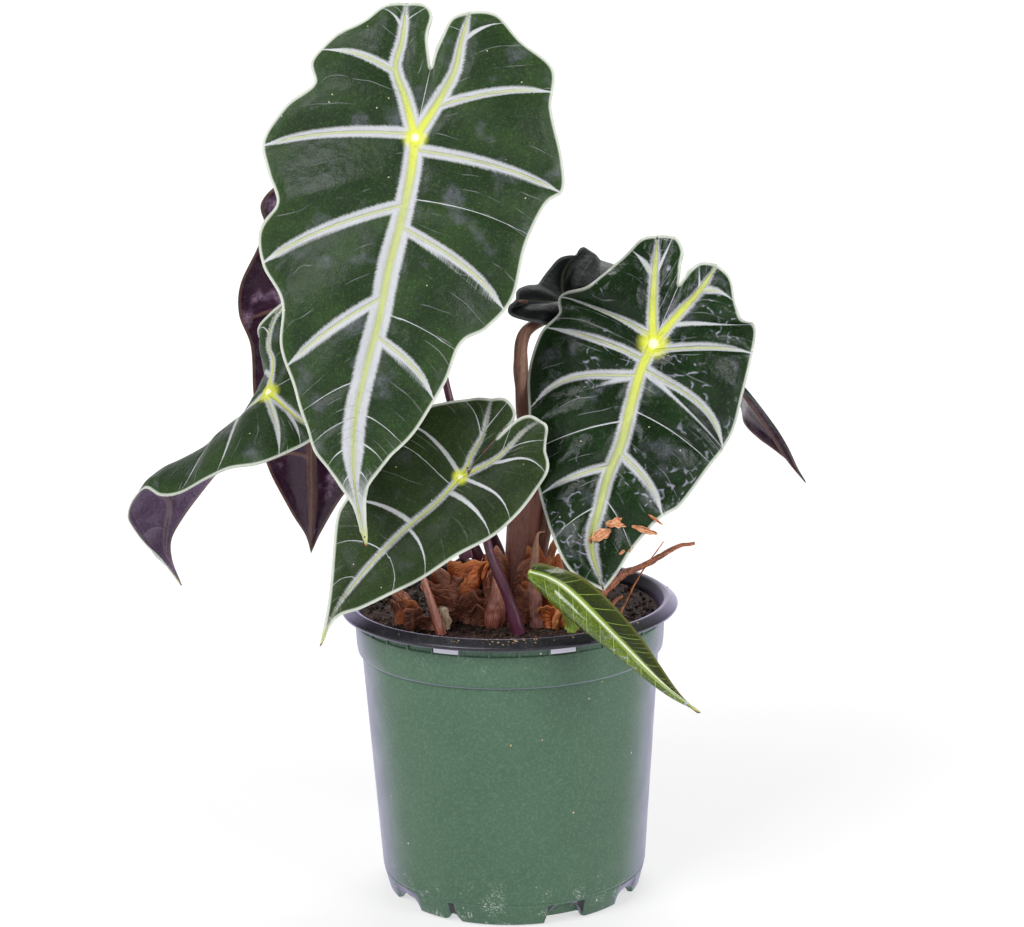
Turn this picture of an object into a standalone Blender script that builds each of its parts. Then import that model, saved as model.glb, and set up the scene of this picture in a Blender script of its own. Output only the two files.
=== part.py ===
"""A potted alocasia: seven arrow-shaped leaves on their stalks, a scaly rhizome with a small offset
bulb and old stubs, potting soil and a thin-walled nursery pot.

Metres, +Z up. The origin is on the pot's axis, at the plane that the pot stands on. -Y is the front.
Guide points below are written in millimetres and turned into metres by MM.
"""

import math

import bmesh
import bpy
import numpy as np

MM = 0.001
GAP = 0.3  # free space between two pieces that touch, mm

# Driving sizes, mm. The pot is the 6 inch size of nursery pot.
POT_RIM_DIAMETER = 152.0
POT_HEIGHT = 134.2
POT_FOOT_DIAMETER = 115.2
POT_WALL = 1.3
POT_FLOOR = 5.0
POT_SIDES = 64
PAD_RADIUS = 30.0
DRAIN_NOTCHES = ((-118, 3, 3), (-146, 9, 5), (-68, 9, 8), (-31, 8, 5), (20, 9, 6), (75, 9, 8), (125, 9, 6), (170, 9, 5))
SOIL_DEPTH_BELOW_RIM = 8.2
SOIL_TOP = POT_HEIGHT - SOIL_DEPTH_BELOW_RIM
PLANT_LIFT = SOIL_TOP - 126.0  # the plant's guide points are written for soil at 126 mm
SOIL_RISE = 3.0
BLADE_THICKNESS = 0.9
PETIOLE_SIZE = 1.0  # scales the girth of every leaf stalk
LEAF_ROWS = 4  # rows of faces between a rib and the leaf's edge

COLOURS = {
    "pot_plastic": ((0.085, 0.165, 0.115), 0.55),
    "soil": ((0.030, 0.019, 0.013), 0.95),
    "leaf_top": ((0.025, 0.050, 0.022), 0.38),
    "new_leaf": ((0.150, 0.260, 0.035), 0.25),
    "petiole": ((0.120, 0.035, 0.050), 0.40),
    "petiole_tan": ((0.220, 0.080, 0.035), 0.45),
    "petiole_green": ((0.140, 0.230, 0.045), 0.40),
    "sheath": ((0.090, 0.030, 0.030), 0.60),
    "rhizome": ((0.085, 0.045, 0.025), 0.85),
    "papery_scale": ((0.300, 0.120, 0.035), 0.75),
    "dry_stem": ((0.110, 0.050, 0.030), 0.80),
    "pale_bark": ((0.420, 0.300, 0.180), 0.85),
}


def clear_scene():
    for obj in list(bpy.data.objects):
        bpy.data.objects.remove(obj, do_unlink=True)


def material(name):
    found = bpy.data.materials.get(name)
    if found:
        return found
    colour, roughness = COLOURS[name]
    made = bpy.data.materials.new(name)
    made.use_nodes = True
    shader = made.node_tree.nodes["Principled BSDF"]
    shader.inputs["Base Color"].default_value = (*colour, 1.0)
    shader.inputs["Roughness"].default_value = roughness
    shader.inputs["Metallic"].default_value = 0.0
    return made


def add_object(name, mesh_builder, material_name, sharp_degrees=40):
    """Makes the named object from a bmesh in metres, outward-facing and shaded smooth."""
    bmesh.ops.recalc_face_normals(mesh_builder, faces=mesh_builder.faces)
    mesh = bpy.data.meshes.new(name)
    mesh_builder.to_mesh(mesh)
    mesh_builder.free()
    mesh.shade_smooth()
    mesh.set_sharp_from_angle(angle=math.radians(sharp_degrees))
    mesh.materials.append(material(material_name))
    obj = bpy.data.objects.new(name, mesh)
    bpy.context.scene.collection.objects.link(obj)
    return obj


def smooth_curve(points, count):
    """Count points, evenly spaced along a Catmull-Rom curve through the given points, on the soil's level."""
    points = np.array(points, float) + (0, 0, PLANT_LIFT)
    padded = np.vstack([2 * points[0] - points[1], points, 2 * points[-1] - points[-2]])
    fine = []
    for i in range(1, len(padded) - 2):
        a, b, c, d = padded[i - 1 : i + 3]
        for t in np.linspace(0, 1, 24, endpoint=False):
            fine.append(0.5 * (2 * b + (c - a) * t + (2 * a - 5 * b + 4 * c - d) * t**2 + (3 * b - a - 3 * c + d) * t**3))
    fine.append(points[-1])
    fine = np.array(fine)
    length = np.concatenate([[0], np.cumsum(np.linalg.norm(np.diff(fine, axis=0), axis=1))])
    wanted = np.linspace(0, length[-1], count)
    return np.stack([np.interp(wanted, length, fine[:, k]) for k in range(3)], axis=1)


# ---------------------------------------------------------------- pot and soil


def notch_height(angle):
    """How far the foot is cut up at this angle, for the drain notches."""
    height = 0.0
    for middle, half_width, rise in DRAIN_NOTCHES:
        away = abs((angle - math.radians(middle) + math.pi) % (2 * math.pi) - math.pi)
        across = away * POT_FOOT_DIAMETER / 2 / half_width
        if across < 1:
            height = max(height, rise * math.sqrt(1 - across**2))
    return height


def pot_profile():
    """(radius, height, follows the notches) from the middle of the underside, out, up and back inside."""
    rim = POT_RIM_DIAMETER / 2
    foot = POT_FOOT_DIAMETER / 2
    top = POT_HEIGHT
    outside = [
        (0, 0, 0),
        (PAD_RADIUS, 0, 0),
        (PAD_RADIUS + 1.5, 2.5, 0),
        (foot - 3.2, 2.5, 0),
        (foot - 2.6, 0, 1),
        (foot, 0, 1),
        (foot + 2.7, 10, 0),
        (rim - 9.0, top - 24.2, 0),
        (rim - 8.3, top - 23.0, 0),
        (rim - 6.7, top - 19.2, 0),
        (rim - 6.2, top - 8.9, 0),
        (rim - 6.9, top - 8.7, 0),
        (rim - 6.9, top - 4.9, 0),
        (rim - 0.6, top - 4.7, 0),
        (rim, top - 3.2, 0),
        (rim - 2.1, top - 2.2, 0),
        (rim - 4.4, top - 0.1, 0),
    ]
    inside = [
        (rim - 6.3, top - 0.8, 0),
        (rim - 6.9 - POT_WALL, top - 5.0, 0),
        (rim - 9.0 - POT_WALL, top - 24.2, 0),
        (foot + 2.7 - POT_WALL, POT_FLOOR + 7.0, 0),
        (foot - 3.0, POT_FLOOR + 6.5, 0),
        (foot - 4.5, POT_FLOOR, 0),
        (0, POT_FLOOR, 0),
    ]
    return outside, inside


def turn(profile, sides):
    """Faces of a closed turned solid. The profile starts and ends on the axis."""
    made = bmesh.new()
    rings = []
    for radius, height, notched in profile:
        if radius == 0:
            rings.append([made.verts.new((0, 0, height * MM))])
            continue
        ring = []
        for i in range(sides):
            angle = 2 * math.pi * i / sides
            z = height + (notch_height(angle) if notched else 0)
            ring.append(made.verts.new((radius * math.cos(angle) * MM, radius * math.sin(angle) * MM, z * MM)))
        rings.append(ring)
    for low, high in zip(rings, rings[1:]):
        for i in range(sides):
            j = (i + 1) % sides
            if len(low) == 1:
                made.faces.new((low[0], high[i], high[j]))
            elif len(high) == 1:
                made.faces.new((low[i], low[j], high[0]))
            else:
                made.faces.new((low[i], low[j], high[j], high[i]))
    return made


def build_pot():
    outside, inside = pot_profile()
    add_object("pot", turn(outside + inside, POT_SIDES), "pot_plastic", 30)


def build_soil():
    """The soil fills the pot, GAP inside its wall. It is level in the middle and rises a little at the wall."""
    _, inside = pot_profile()
    lip, collar, wall, heel, corner, floor_edge, _ = inside
    side = GAP / math.cos(math.pi / POT_SIDES) + 0.1
    top_radius = collar[0] - 0.7
    profile = [
        (0, floor_edge[1] + GAP, 0),
        (floor_edge[0] - side, floor_edge[1] + GAP, 0),
        (corner[0] - side, corner[1] + GAP, 0),
        (heel[0] - side, heel[1] + GAP, 0),
        (wall[0] - side, wall[1] + GAP, 0),
        (top_radius, SOIL_TOP + SOIL_RISE, 0),
        (top_radius - 8, SOIL_TOP + SOIL_RISE * 0.9, 0),
        (top_radius - 16, SOIL_TOP, 0),
        (0, SOIL_TOP, 0),
    ]
    add_object("soil", turn(profile, POT_SIDES), "soil", 60)


# ---------------------------------------------------------------- leaves

# Guide points of each blade, mm. The midrib runs from the stalk to the tip, each rib from the stalk
# to the end of a back lobe, and the sinus is the foot of the cleft between the lobes. An outer edge
# runs from a lobe's end to the leaf's tip, an inner edge from a lobe's end into the cleft. The left
# half comes first, seen on the upper face with the tip down. The lobe shares are the part of each
# outer edge beside a back lobe, and the crown is how far a half bulges upwards.
LEAVES = {
    "front_leaf": {
        "midrib": [(-36, -25, 341), (-43, -37, 305), (-52, -48, 268), (-63, -58, 226), (-64, -62, 205), (-59, -68, 174)],
        "ribs": [
            [(-36, -25, 341), (-44, -14, 370), (-41, -10, 382), (-39, -5, 397)],
            [(-36, -25, 341), (-19, -15, 368), (-16, -10, 380), (-12, -5, 393)],
        ],
        "sinus": (-29, -14, 370),
        "inner": [
            [(-39, -5, 397), (-31, -5, 396), (-28, -7, 391), (-30, -10, 382), (-29, -14, 370)],
            [(-12, -5, 393), (-20, -7, 390), (-24, -10, 383), (-29, -14, 370)],
        ],
        "outer": [
            [(-39, -5, 397), (-58, -4, 389), (-80, -9, 374), (-79, -16, 364), (-101, -13, 340), (-95, -31, 315),
             (-103, -30, 296), (-93, -42, 274), (-88, -51, 237), (-71, -63, 201), (-59, -68, 174)],
            [(-12, -5, 393), (10, -6, 379), (23, -9, 367), (22, -19, 352), (26, -21, 331), (26, -22, 317),
             (10, -38, 296), (4, -41, 274), (-18, -50, 256), (-37, -59, 222), (-58, -64, 198), (-59, -68, 174)],
        ],
        "lobe_shares": (0.34, 0.36),
        "crown": 3,
    },
    "low_leaf": {
        "midrib": [(-20, -38, 197), (-31, -41, 186), (-56, -48, 165), (-75, -55, 142), (-81, -60, 129)],
        "ribs": [
            [(-20, -38, 197), (-15, -35, 206), (-10, -32, 214), (-6, -26, 229)],
            [(-20, -38, 197), (-5, -36, 204), (7, -32, 215), (15, -31, 220)],
        ],
        "sinus": (-4, -33, 213),
        "inner": [
            [(-6, -26, 229), (0, -27, 229), (4, -28, 224), (3, -29, 219), (-4, -33, 213)],
            [(15, -31, 220), (10, -30, 222), (4, -31, 219), (-4, -33, 213)],
        ],
        "outer": [
            [(-6, -26, 229), (-24, -26, 228), (-49, -25, 221), (-61, -25, 217), (-70, -32, 200), (-73, -39, 182),
             (-76, -50, 156), (-78, -55, 143), (-81, -60, 129)],
            [(15, -31, 220), (18, -33, 215), (18, -40, 200), (4, -44, 181), (-7, -46, 172), (-22, -51, 165),
             (-50, -54, 150), (-74, -56, 140), (-81, -60, 129)],
        ],
        "lobe_shares": (0.30, 0.34),
        "crown": 3,
    },
    "right_leaf": {
        "midrib": [(65, -10, 249), (54, -18, 221), (44, -26, 194), (36, -35, 165), (41, -41, 146)],
        "ribs": [
            [(65, -10, 249), (65, -6, 262), (66, -2, 276), (68, 4, 295)],
            [(65, -10, 249), (77, -6, 262), (85, -3, 270), (94, 2, 282)],
        ],
        "sinus": (77, -2, 274),
        "inner": [
            [(68, 4, 295), (76, 4, 294), (79, 2, 288), (77, -2, 274)],
            [(94, 2, 282), (87, 1, 283), (82, 0, 280), (77, -2, 274)],
        ],
        "outer": [
            [(68, 4, 295), (51, 5, 284), (39, 0, 275), (25, 7, 269), (24, 0, 262), (10, -3, 236), (11, -16, 204),
             (19, -32, 169), (27, -38, 154), (41, -41, 146)],
            [(94, 2, 282), (100, 1, 275), (103, -4, 261), (111, 1, 254), (109, -5, 244), (99, -15, 209),
             (88, -24, 196), (65, -33, 175), (54, -35, 163), (41, -41, 146)],
        ],
        "lobe_shares": (0.30, 0.30),
        "crown": 4,
    },
    "left_leaf": {
        "midrib": [(-105, -4, 230), (-119, 8, 218), (-149, 32, 193), (-162, 42, 182), (-165, 50, 176),
                   (-160, 55, 168), (-163, 54, 155), (-154, 40, 131)],
        "ribs": [
            [(-105, -4, 230), (-104, 8, 241), (-106, 12, 248), (-103, 12, 260), (-94, 10, 271)],
            [(-105, -4, 230), (-97, -12, 225), (-89, -16, 219), (-80, -18, 214)],
        ],
        "sinus": (-91, 2, 237),
        "inner": [
            [(-94, 10, 271), (-88, 8, 263), (-88, 5, 251), (-91, 2, 237)],
            [(-80, -18, 214), (-79, -10, 221), (-84, -2, 229), (-91, 2, 237)],
        ],
        "outer": [
            [(-94, 10, 271), (-105, 14, 262), (-111, 20, 254), (-111, 32, 227), (-128, 50, 192), (-154, 60, 160),
             (-159, 48, 142), (-154, 40, 131)],
            [(-80, -18, 214), (-98, -30, 206), (-121, -26, 200), (-147, 0, 184), (-165, 18, 183), (-178, 28, 168),
             (-169, 34, 153), (-154, 40, 131)],
        ],
        "lobe_shares": (0.30, 0.13),
        "crown": 4,
    },
    "rear_left_leaf": {
        "midrib": [(-81, 42, 262), (-85, 47, 240), (-89, 52, 216), (-92, 57, 191), (-95, 68, 139)],
        "ribs": [
            [(-81, 42, 262), (-69, 40, 276), (-59, 37, 292), (-49, 32, 316)],
            [(-81, 42, 262), (-87, 39, 276), (-93, 34, 293), (-100, 27, 319)],
        ],
        "sinus": (-77, 38, 282),
        "inner": [
            [(-49, 32, 316), (-58, 32, 315), (-68, 34, 306), (-77, 38, 282)],
            [(-100, 27, 319), (-90, 29, 316), (-83, 32, 306), (-77, 38, 282)],
        ],
        "outer": [
            [(-49, 32, 316), (-41, 33, 307), (-36, 38, 278), (-35, 44, 258), (-45, 52, 220), (-66, 61, 182),
             (-90, 66, 149), (-95, 68, 139)],
            [(-100, 27, 319), (-108, 28, 310), (-107, 31, 300), (-121, 36, 262), (-117, 46, 222), (-112, 55, 182),
             (-97, 66, 148), (-95, 68, 139)],
        ],
        "lobe_shares": (0.34, 0.36),
        "crown": 4,
    },
    "rear_right_leaf": {
        "midrib": [(29, 26, 263), (48, 30, 265), (67, 36, 258), (103, 52, 227), (126, 66, 194), (143, 66, 170)],
        "ribs": [
            [(29, 26, 263), (20, 19, 265), (12, 14, 266), (6, 10, 267)],
            [(29, 26, 263), (27, 36, 268), (28, 44, 275), (33, 52, 282)],
        ],
        "sinus": (16, 28, 272),
        "inner": [
            [(6, 10, 267), (6, 16, 270), (11, 22, 272), (16, 28, 272)],
            [(33, 52, 282), (26, 46, 281), (21, 38, 277), (16, 28, 272)],
        ],
        "outer": [
            [(6, 10, 267), (2, 8, 262), (9, 3, 258), (33, 10, 251), (70, 18, 239), (106, 42, 222), (132, 62, 189),
             (143, 66, 170)],
            [(33, 52, 282), (44, 62, 279), (76, 78, 260), (105, 86, 222), (114, 80, 196), (129, 73, 183),
             (143, 66, 170)],
        ],
        "lobe_shares": (0.13, 0.10),
        "crown": 3,
    },
}

# The new leaf, half unrolled: its fold line, the edge of the open half, and the lower line of the roll.
NEW_FOLD = [(9, -60, 160), (17, -68, 159), (25, -75, 155), (43, -87, 139), (62, -94, 121), (78, -95, 108)]
NEW_EDGE = [(10, -58, 163), (16, -63, 164), (33, -69, 158), (52, -77, 139), (69, -91, 116), (78, -95, 108)]
NEW_ROLL = [(10, -60, 156), (16, -68, 151), (30, -81, 141), (43, -88, 132), (64, -94, 116), (78, -95, 108)]


def sheet(strips):
    """An open sheet of quads from strips of point rows. Points that coincide are joined."""
    made = bmesh.new()
    joined = {}
    for rows in strips:
        for low, high in zip(rows, rows[1:]):
            for i in range(len(low) - 1):
                ring = []
                for point in (low[i], low[i + 1], high[i + 1], high[i]):
                    key = tuple(np.round(point, 2))
                    if key not in joined:
                        joined[key] = made.verts.new([c * MM for c in point])
                    if joined[key] not in ring:
                        ring.append(joined[key])
                if len(ring) > 2:
                    made.faces.new(ring)
    bmesh.ops.recalc_face_normals(made, faces=made.faces)
    made.normal_update()
    return made


def thicken(made, thickness):
    """Turns an open sheet into a closed solid, half the thickness to each side of it."""
    half = thickness * MM / 2
    sheet_faces = list(made.faces)
    twins = {vert: made.verts.new(vert.co - vert.normal * half) for vert in list(made.verts)}
    borders = [edge for edge in made.edges if edge.is_boundary]
    for vert in twins:
        vert.co += vert.normal * half
    for face in sheet_faces:
        made.faces.new([twins[vert] for vert in reversed(face.verts)])
    for edge in borders:
        first, second = edge.verts
        made.faces.new((first, second, twins[second], twins[first]))


def strip(spine, edge, crown):
    """Rows of points from a rib to the leaf's edge, bulged by crown across the middle."""
    middle = len(spine) // 2
    along = spine[min(middle + 1, len(spine) - 1)] - spine[middle - 1]
    across = edge[middle] - spine[middle]
    longest = max(np.linalg.norm(edge - spine, axis=1).max(), 1.0)
    rows = []
    for k in range(LEAF_ROWS + 1):
        w = k / LEAF_ROWS
        row = []
        for i, (a, b) in enumerate(zip(spine, edge)):
            before, after = spine[max(i - 1, 0)], spine[min(i + 1, len(spine) - 1)]
            normal = np.cross(after - before, b - a)
            if np.linalg.norm(normal) < 1e-6:
                normal = np.cross(along, across)
            normal /= np.linalg.norm(normal)
            height = crown * math.sin(math.pi * w) * np.linalg.norm(b - a) / longest
            row.append(a + (b - a) * w + normal * height)
        rows.append(row)
    return rows


def build_leaf(name, guide, material_name="leaf_top"):
    """A thin blade of four strips: two beside the midrib and the lobe ribs, and two in the cleft."""
    midrib = smooth_curve(guide["midrib"], 10)
    all_rows = []
    for side in (0, 1):
        rib = smooth_curve(guide["ribs"][side], 5)
        outer = smooth_curve(guide["outer"][side], 240)
        inner = smooth_curve(guide["inner"][side], 5)
        spine = np.vstack([rib[::-1], midrib[1:]])
        lobe_share = guide["lobe_shares"][side]
        shares = np.concatenate([np.linspace(0, lobe_share, 5), np.linspace(lobe_share, 1, 10)[1:]])
        edge = outer[np.round(shares * 239).astype(int)]
        crown = guide["crown"] * (1 if side else -1)
        all_rows.append(strip(spine, edge, crown))
        all_rows.append(strip(rib, inner[::-1], 0.0))
    made = sheet(all_rows)
    thicken(made, BLADE_THICKNESS)
    return add_object(name, made, material_name, 50)


def build_new_leaf():
    """The young leaf hangs over the rim with one half open and the other still rolled lengthwise."""
    stations = 12
    fold = smooth_curve(NEW_FOLD, stations)
    edge = smooth_curve(NEW_EDGE, stations)
    roll = smooth_curve(NEW_ROLL, stations)
    rows = []
    for a, b, c in zip(fold, edge, roll):
        middle = (a + c) / 2
        down = c - a
        radius = max(np.linalg.norm(down) / 2, 0.01)
        front = np.cross(down, fold[-1] - fold[0])
        front *= radius / max(np.linalg.norm(front), 1e-9)
        row = [b, b + (a - b) * 0.5, a]
        for turn_angle in (40, 85, 130, 180, 225, 265):
            angle = math.radians(turn_angle)
            row.append(middle - down / 2 * math.cos(angle) + front * math.sin(angle))
        rows.append(row)
    made = sheet([rows])
    thicken(made, BLADE_THICKNESS)
    add_object("new_leaf", made, "new_leaf", 50)


# ---------------------------------------------------------------- stalks and other stems

# Each stem: guide points in mm, a radius for each, and the number of points along it.
STEMS = {
    "front_leaf_petiole": ([(4, -35, 126.3), (3, -35, 130), (0, -34, 141), (-9, -33, 166), (-13, -26, 195),
                            (-25, -15, 230), (-33, -8, 290), (-36, -14, 330), (-36, -23.6, 340.6)],
                           (3.4, 3.2, 2.4, 1.9, 1.7, 1.6, 1.5, 1.5, 1.3), 18, "petiole"),
    "low_leaf_petiole": ([(-19, -14, 155.6), (-20, -15, 166), (-21, -20, 184), (-20, -30, 194.5), (-19.8, -36.4, 196.5)],
                         (3.0, 2.4, 1.8, 1.6, 1.3), 9, "petiole"),
    "right_leaf_petiole": ([(13, -14, 126.3), (13, -14, 132), (15, -11, 160), (28, -4, 205), (52, 4, 240), (63, 0, 247),
                            (64.6, -8.6, 248.7)],
                           (4.2, 4.0, 3.0, 2.2, 1.8, 1.6, 1.3), 14, "petiole_tan"),
    "left_leaf_petiole": ([(-10, 3, 126.3), (-10, 3, 132), (-18, 5, 160), (-52, 6, 205), (-88, 4, 222), (-101, -1, 223),
                           (-104.4, -3.2, 227.9)],
                          (3.6, 3.4, 2.6, 1.9, 1.6, 1.4, 1.2), 14, "petiole"),
    "rear_left_leaf_petiole": ([(-1, 9, 126.3), (-1, 9, 132), (-8, 12, 160), (-38, 20, 215), (-66, 26, 252),
                                (-78, 33, 261), (-80.7, 40.6, 262)],
                               (3.6, 3.4, 2.6, 1.9, 1.6, 1.5, 1.3), 14, "petiole"),
    "rear_right_leaf_petiole": ([(12, 1, 126.3), (12, 1, 132), (10, 0, 165), (8, -1, 217), (7, 1, 240), (9, 7, 252),
                                 (18, 17, 256.5), (26, 25, 258), (28.7, 26, 261.1)],
                                (4.0, 4.0, 3.6, 3.4, 3.2, 2.8, 2.2, 1.8, 1.4), 18, "petiole_tan"),
    "new_leaf_petiole": ([(27, -33, 126.3), (27, -34, 131), (22, -41, 145), (14, -50, 155), (9.5, -56.5, 158.6)],
                         (3.2, 3.0, 2.6, 2.2, 1.6), 9, "petiole_green"),
    "cataphyll": ([(12, -26, 126.3), (12, -26, 131), (11, -27, 146), (12, -28, 163), (13, -28, 170)],
                  (3.0, 3.0, 2.6, 1.6, 0.4), 9, "sheath"),
    "offset_bulb": ([(-7, -24, 126.3), (-7, -24, 129), (-6, -24, 134), (-6, -24, 141), (-6, -24, 152)],
                    (3.6, 4.6, 4.8, 2.6, 0.4), 9, "rhizome"),
    "old_stub": ([(-40, -20, 126.3), (-41, -20, 130), (-46, -20, 137), (-51, -20, 143)], (2.6, 3.2, 3.0, 2.2), 6, "dry_stem"),
    "pink_stem": ([(-30, -35, 126.3), (-31, -35, 130), (-34, -33, 140), (-37, -31, 150)], (2.4, 2.4, 1.9, 1.2), 7,
                  "petiole_tan"),
    "pale_chunk": ([(-29, -26, 126.3), (-29, -26, 129), (-29.5, -26, 135)], (3.0, 3.4, 2.4), 4, "pale_bark"),
    "orange_scale": ([(20, -20, 126.3), (19, -20, 134), (17, -21, 150), (20, -22, 162), (22, -22, 169)],
                     (2.4, 2.2, 2.0, 1.6, 0.4), 8, "papery_scale"),
    "pink_scale": ([(20, -29, 126.3), (21, -29, 132), (24, -28, 139)], (1.6, 1.8, 0.5), 5, "papery_scale"),
    "dried_stem": ([(32, -16, 126.3), (33, -16, 129), (38, -15, 134), (50, -8, 144), (63, -4, 149), (75, -4, 156), (83, -6, 158)],
                   (2.0, 2.0, 1.9, 1.7, 1.3, 1.0, 0.7), 13, "dry_stem"),
    "long_root": ([(49, -16, 127.2), (50, -15, 130), (58, -12, 145), (69, -10, 160)], (1.0, 0.9, 0.7, 0.5), 8, "papery_scale"),
    "short_root": ([(43, -22, 126.6), (44, -21, 131), (47, -20, 136), (50, -20, 138)], (1.1, 1.0, 0.8, 0.5), 6, "dry_stem"),
}
STEM_SIDES = 8


def build_stem(name, points, radii, count, material_name, girth=1.0):
    """A tapered round stem swept along a smooth curve, with a flat foot and a closed top."""
    path = smooth_curve(points, count)
    length = np.concatenate([[0], np.cumsum(np.linalg.norm(np.diff(np.array(points, float), axis=0), axis=1))])
    at = length / length[-1]
    made = bmesh.new()
    rings = []
    side = np.array([1.0, 0.0, 0.0])
    for i, point in enumerate(path):
        if i == 0:
            ahead = np.array([0.0, 0.0, 1.0])
        else:
            ahead = path[min(i + 1, count - 1)] - path[i - 1]
        ahead /= np.linalg.norm(ahead)
        side = side - ahead * side.dot(ahead)
        side /= np.linalg.norm(side)
        other = np.cross(ahead, side)
        radius = np.interp(i / (count - 1), at, radii) * girth
        ring = []
        for k in range(STEM_SIDES):
            angle = 2 * math.pi * k / STEM_SIDES
            ring.append(made.verts.new((point + (side * math.cos(angle) + other * math.sin(angle)) * radius) * MM))
        rings.append(ring)
    for low, high in zip(rings, rings[1:]):
        for k in range(STEM_SIDES):
            j = (k + 1) % STEM_SIDES
            made.faces.new((low[k], low[j], high[j], high[k]))
    made.faces.new(rings[0][::-1])
    made.faces.new(rings[-1])
    add_object(name, made, material_name, 60)


def build_rhizome():
    """The rhizome lies on the soil as a short, lumpy, ringed body."""
    made = bmesh.new()
    bmesh.ops.create_uvsphere(made, u_segments=16, v_segments=10, radius=1.0)
    for vert in made.verts:
        x, y, z = vert.co
        ring = 1.0 + 0.05 * math.sin(9 * x)
        px = -22.5 + 13.5 * x
        py = -10.5 + 8.2 * y * ring
        pz = 140.5 + 14.0 * z * ring + 3.0 * x
        vert.co = (px * MM, py * MM, max(pz + PLANT_LIFT, SOIL_TOP + GAP) * MM)
    bmesh.ops.dissolve_degenerate(made, edges=made.edges, dist=1e-6)
    add_object("rhizome", made, "rhizome", 60)


def main():
    clear_scene()
    build_pot()
    build_soil()
    for name, guide in LEAVES.items():
        build_leaf(name, guide)
    build_new_leaf()
    for name, (points, radii, count, material_name) in STEMS.items():
        girth = PETIOLE_SIZE if name.endswith("petiole") else 1.0
        build_stem(name, points, radii, count, material_name, girth)
    build_rhizome()


main()
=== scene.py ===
"""A potted alocasia: seven veined, arrow-shaped leaves on fleshy stalks, a scaly rhizome, potting
soil and a thin-walled nursery pot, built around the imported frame. Guide points are in millimetres."""

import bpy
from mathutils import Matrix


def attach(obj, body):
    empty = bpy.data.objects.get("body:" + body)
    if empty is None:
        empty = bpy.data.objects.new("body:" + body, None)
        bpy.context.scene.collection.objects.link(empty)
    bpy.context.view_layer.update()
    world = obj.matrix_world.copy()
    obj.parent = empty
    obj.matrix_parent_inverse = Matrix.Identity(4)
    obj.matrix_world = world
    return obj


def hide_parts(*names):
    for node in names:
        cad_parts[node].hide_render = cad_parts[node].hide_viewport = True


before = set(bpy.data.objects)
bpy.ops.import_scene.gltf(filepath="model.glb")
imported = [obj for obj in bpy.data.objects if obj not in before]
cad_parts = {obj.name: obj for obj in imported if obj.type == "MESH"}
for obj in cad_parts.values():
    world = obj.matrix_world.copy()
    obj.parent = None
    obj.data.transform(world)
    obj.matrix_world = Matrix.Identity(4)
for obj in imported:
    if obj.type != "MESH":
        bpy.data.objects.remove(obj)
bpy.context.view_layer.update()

import math
from functools import partial

import bpy
import numpy as np
from bpy.props import FloatProperty, FloatVectorProperty, IntProperty, PointerProperty
from mathutils import Matrix, Vector, noise

bl_info = {
    "name": "Potted Alocasia",
    "version": (1, 0, 0),
    "blender": (4, 5, 0),
    "location": "View3D > Sidebar > Alocasia",
    "description": "Models a potted alocasia with veined leaves, a scaly rhizome and a nursery pot",
    "category": "Object",
}

MM = 0.001


def rgb(code):
    """Linear colour of an sRGB hex value."""
    parts = [int(code[i : i + 2], 16) / 255 for i in (1, 3, 5)]
    return tuple(c / 12.92 if c <= 0.04045 else ((c + 0.055) / 1.055) ** 2.4 for c in parts)


def colour_property(name, description, code):
    """A colour that the sidebar can change, from its sRGB hex value."""
    return FloatVectorProperty(
        name=name, description=description, subtype="COLOR", size=3, min=0, max=1, default=rgb(code)
    )


def length_property(name, description, millimetres):
    """A length that the sidebar can change."""
    return FloatProperty(name=name, description=description, unit="LENGTH", default=millimetres * MM)


# ---------------------------------------------------------------- sizes and colours


class AlocasiaLeafSettings(bpy.types.PropertyGroup):
    """Sizes and colours of the grown leaves."""

    mesh_step: length_property("Mesh step", "Distance between neighbouring points of a blade", 1.3)
    blade: length_property("Blade thickness", "Thickness of the blade between its veins", 0.55)
    rib: length_property("Rib thickness", "Thickness of the blade where a main rib stands out beneath", 2.4)
    top: colour_property("Upper face", "Dark green of the upper face", "#21331b")
    top_light: colour_property("Upper face, young", "Fresher green near the edge and the ribs", "#35501f")
    band: colour_property("Vein band", "Silvery band along each main vein", "#bcbec3")
    line: colour_property("Vein line", "Yellow-green line in the middle of a rib", "#b2bb6e")
    hub: colour_property("Stalk joint", "Bright yellow where the ribs meet over the stalk", "#ced444")
    edge: colour_property("Margin", "Pale translucent edge of the blade", "#c0c6ba")
    under: colour_property("Lower face", "Purple of the lower face", "#381a31")
    under_vein: colour_property("Lower veins", "Tan of the veins on the lower face", "#6c4f45")


class AlocasiaPotSettings(bpy.types.PropertyGroup):
    """Sizes and colours of the pot and its soil."""

    sides: IntProperty(
        name="Sides", description="Number of straight sides round the pot", default=256, min=64
    )
    plastic: colour_property("Pot", "Moulded green plastic", "#415f48")
    rim: colour_property("Rim", "Black plastic of the rim and the inside", "#17181a")
    soil: colour_property("Soil", "Dark potting mix", "#2d1e18")


class AlocasiaStalkSettings(bpy.types.PropertyGroup):
    """Colours of stalks, rhizome and scales."""

    sides: IntProperty(name="Sides", description="Number of sides round a stalk", default=28, min=8)
    purple: colour_property("Purple stalk", "Stalks of the older leaves", "#6b3a52")
    tan: colour_property("Tan stalk", "Orange-brown stalks", "#9a7560")
    green: colour_property("Green stalk", "Stalk of the young leaf", "#7d9a3c")
    bark: colour_property("Bark", "Papery bark of the rhizome", "#5e3d2f")


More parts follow.
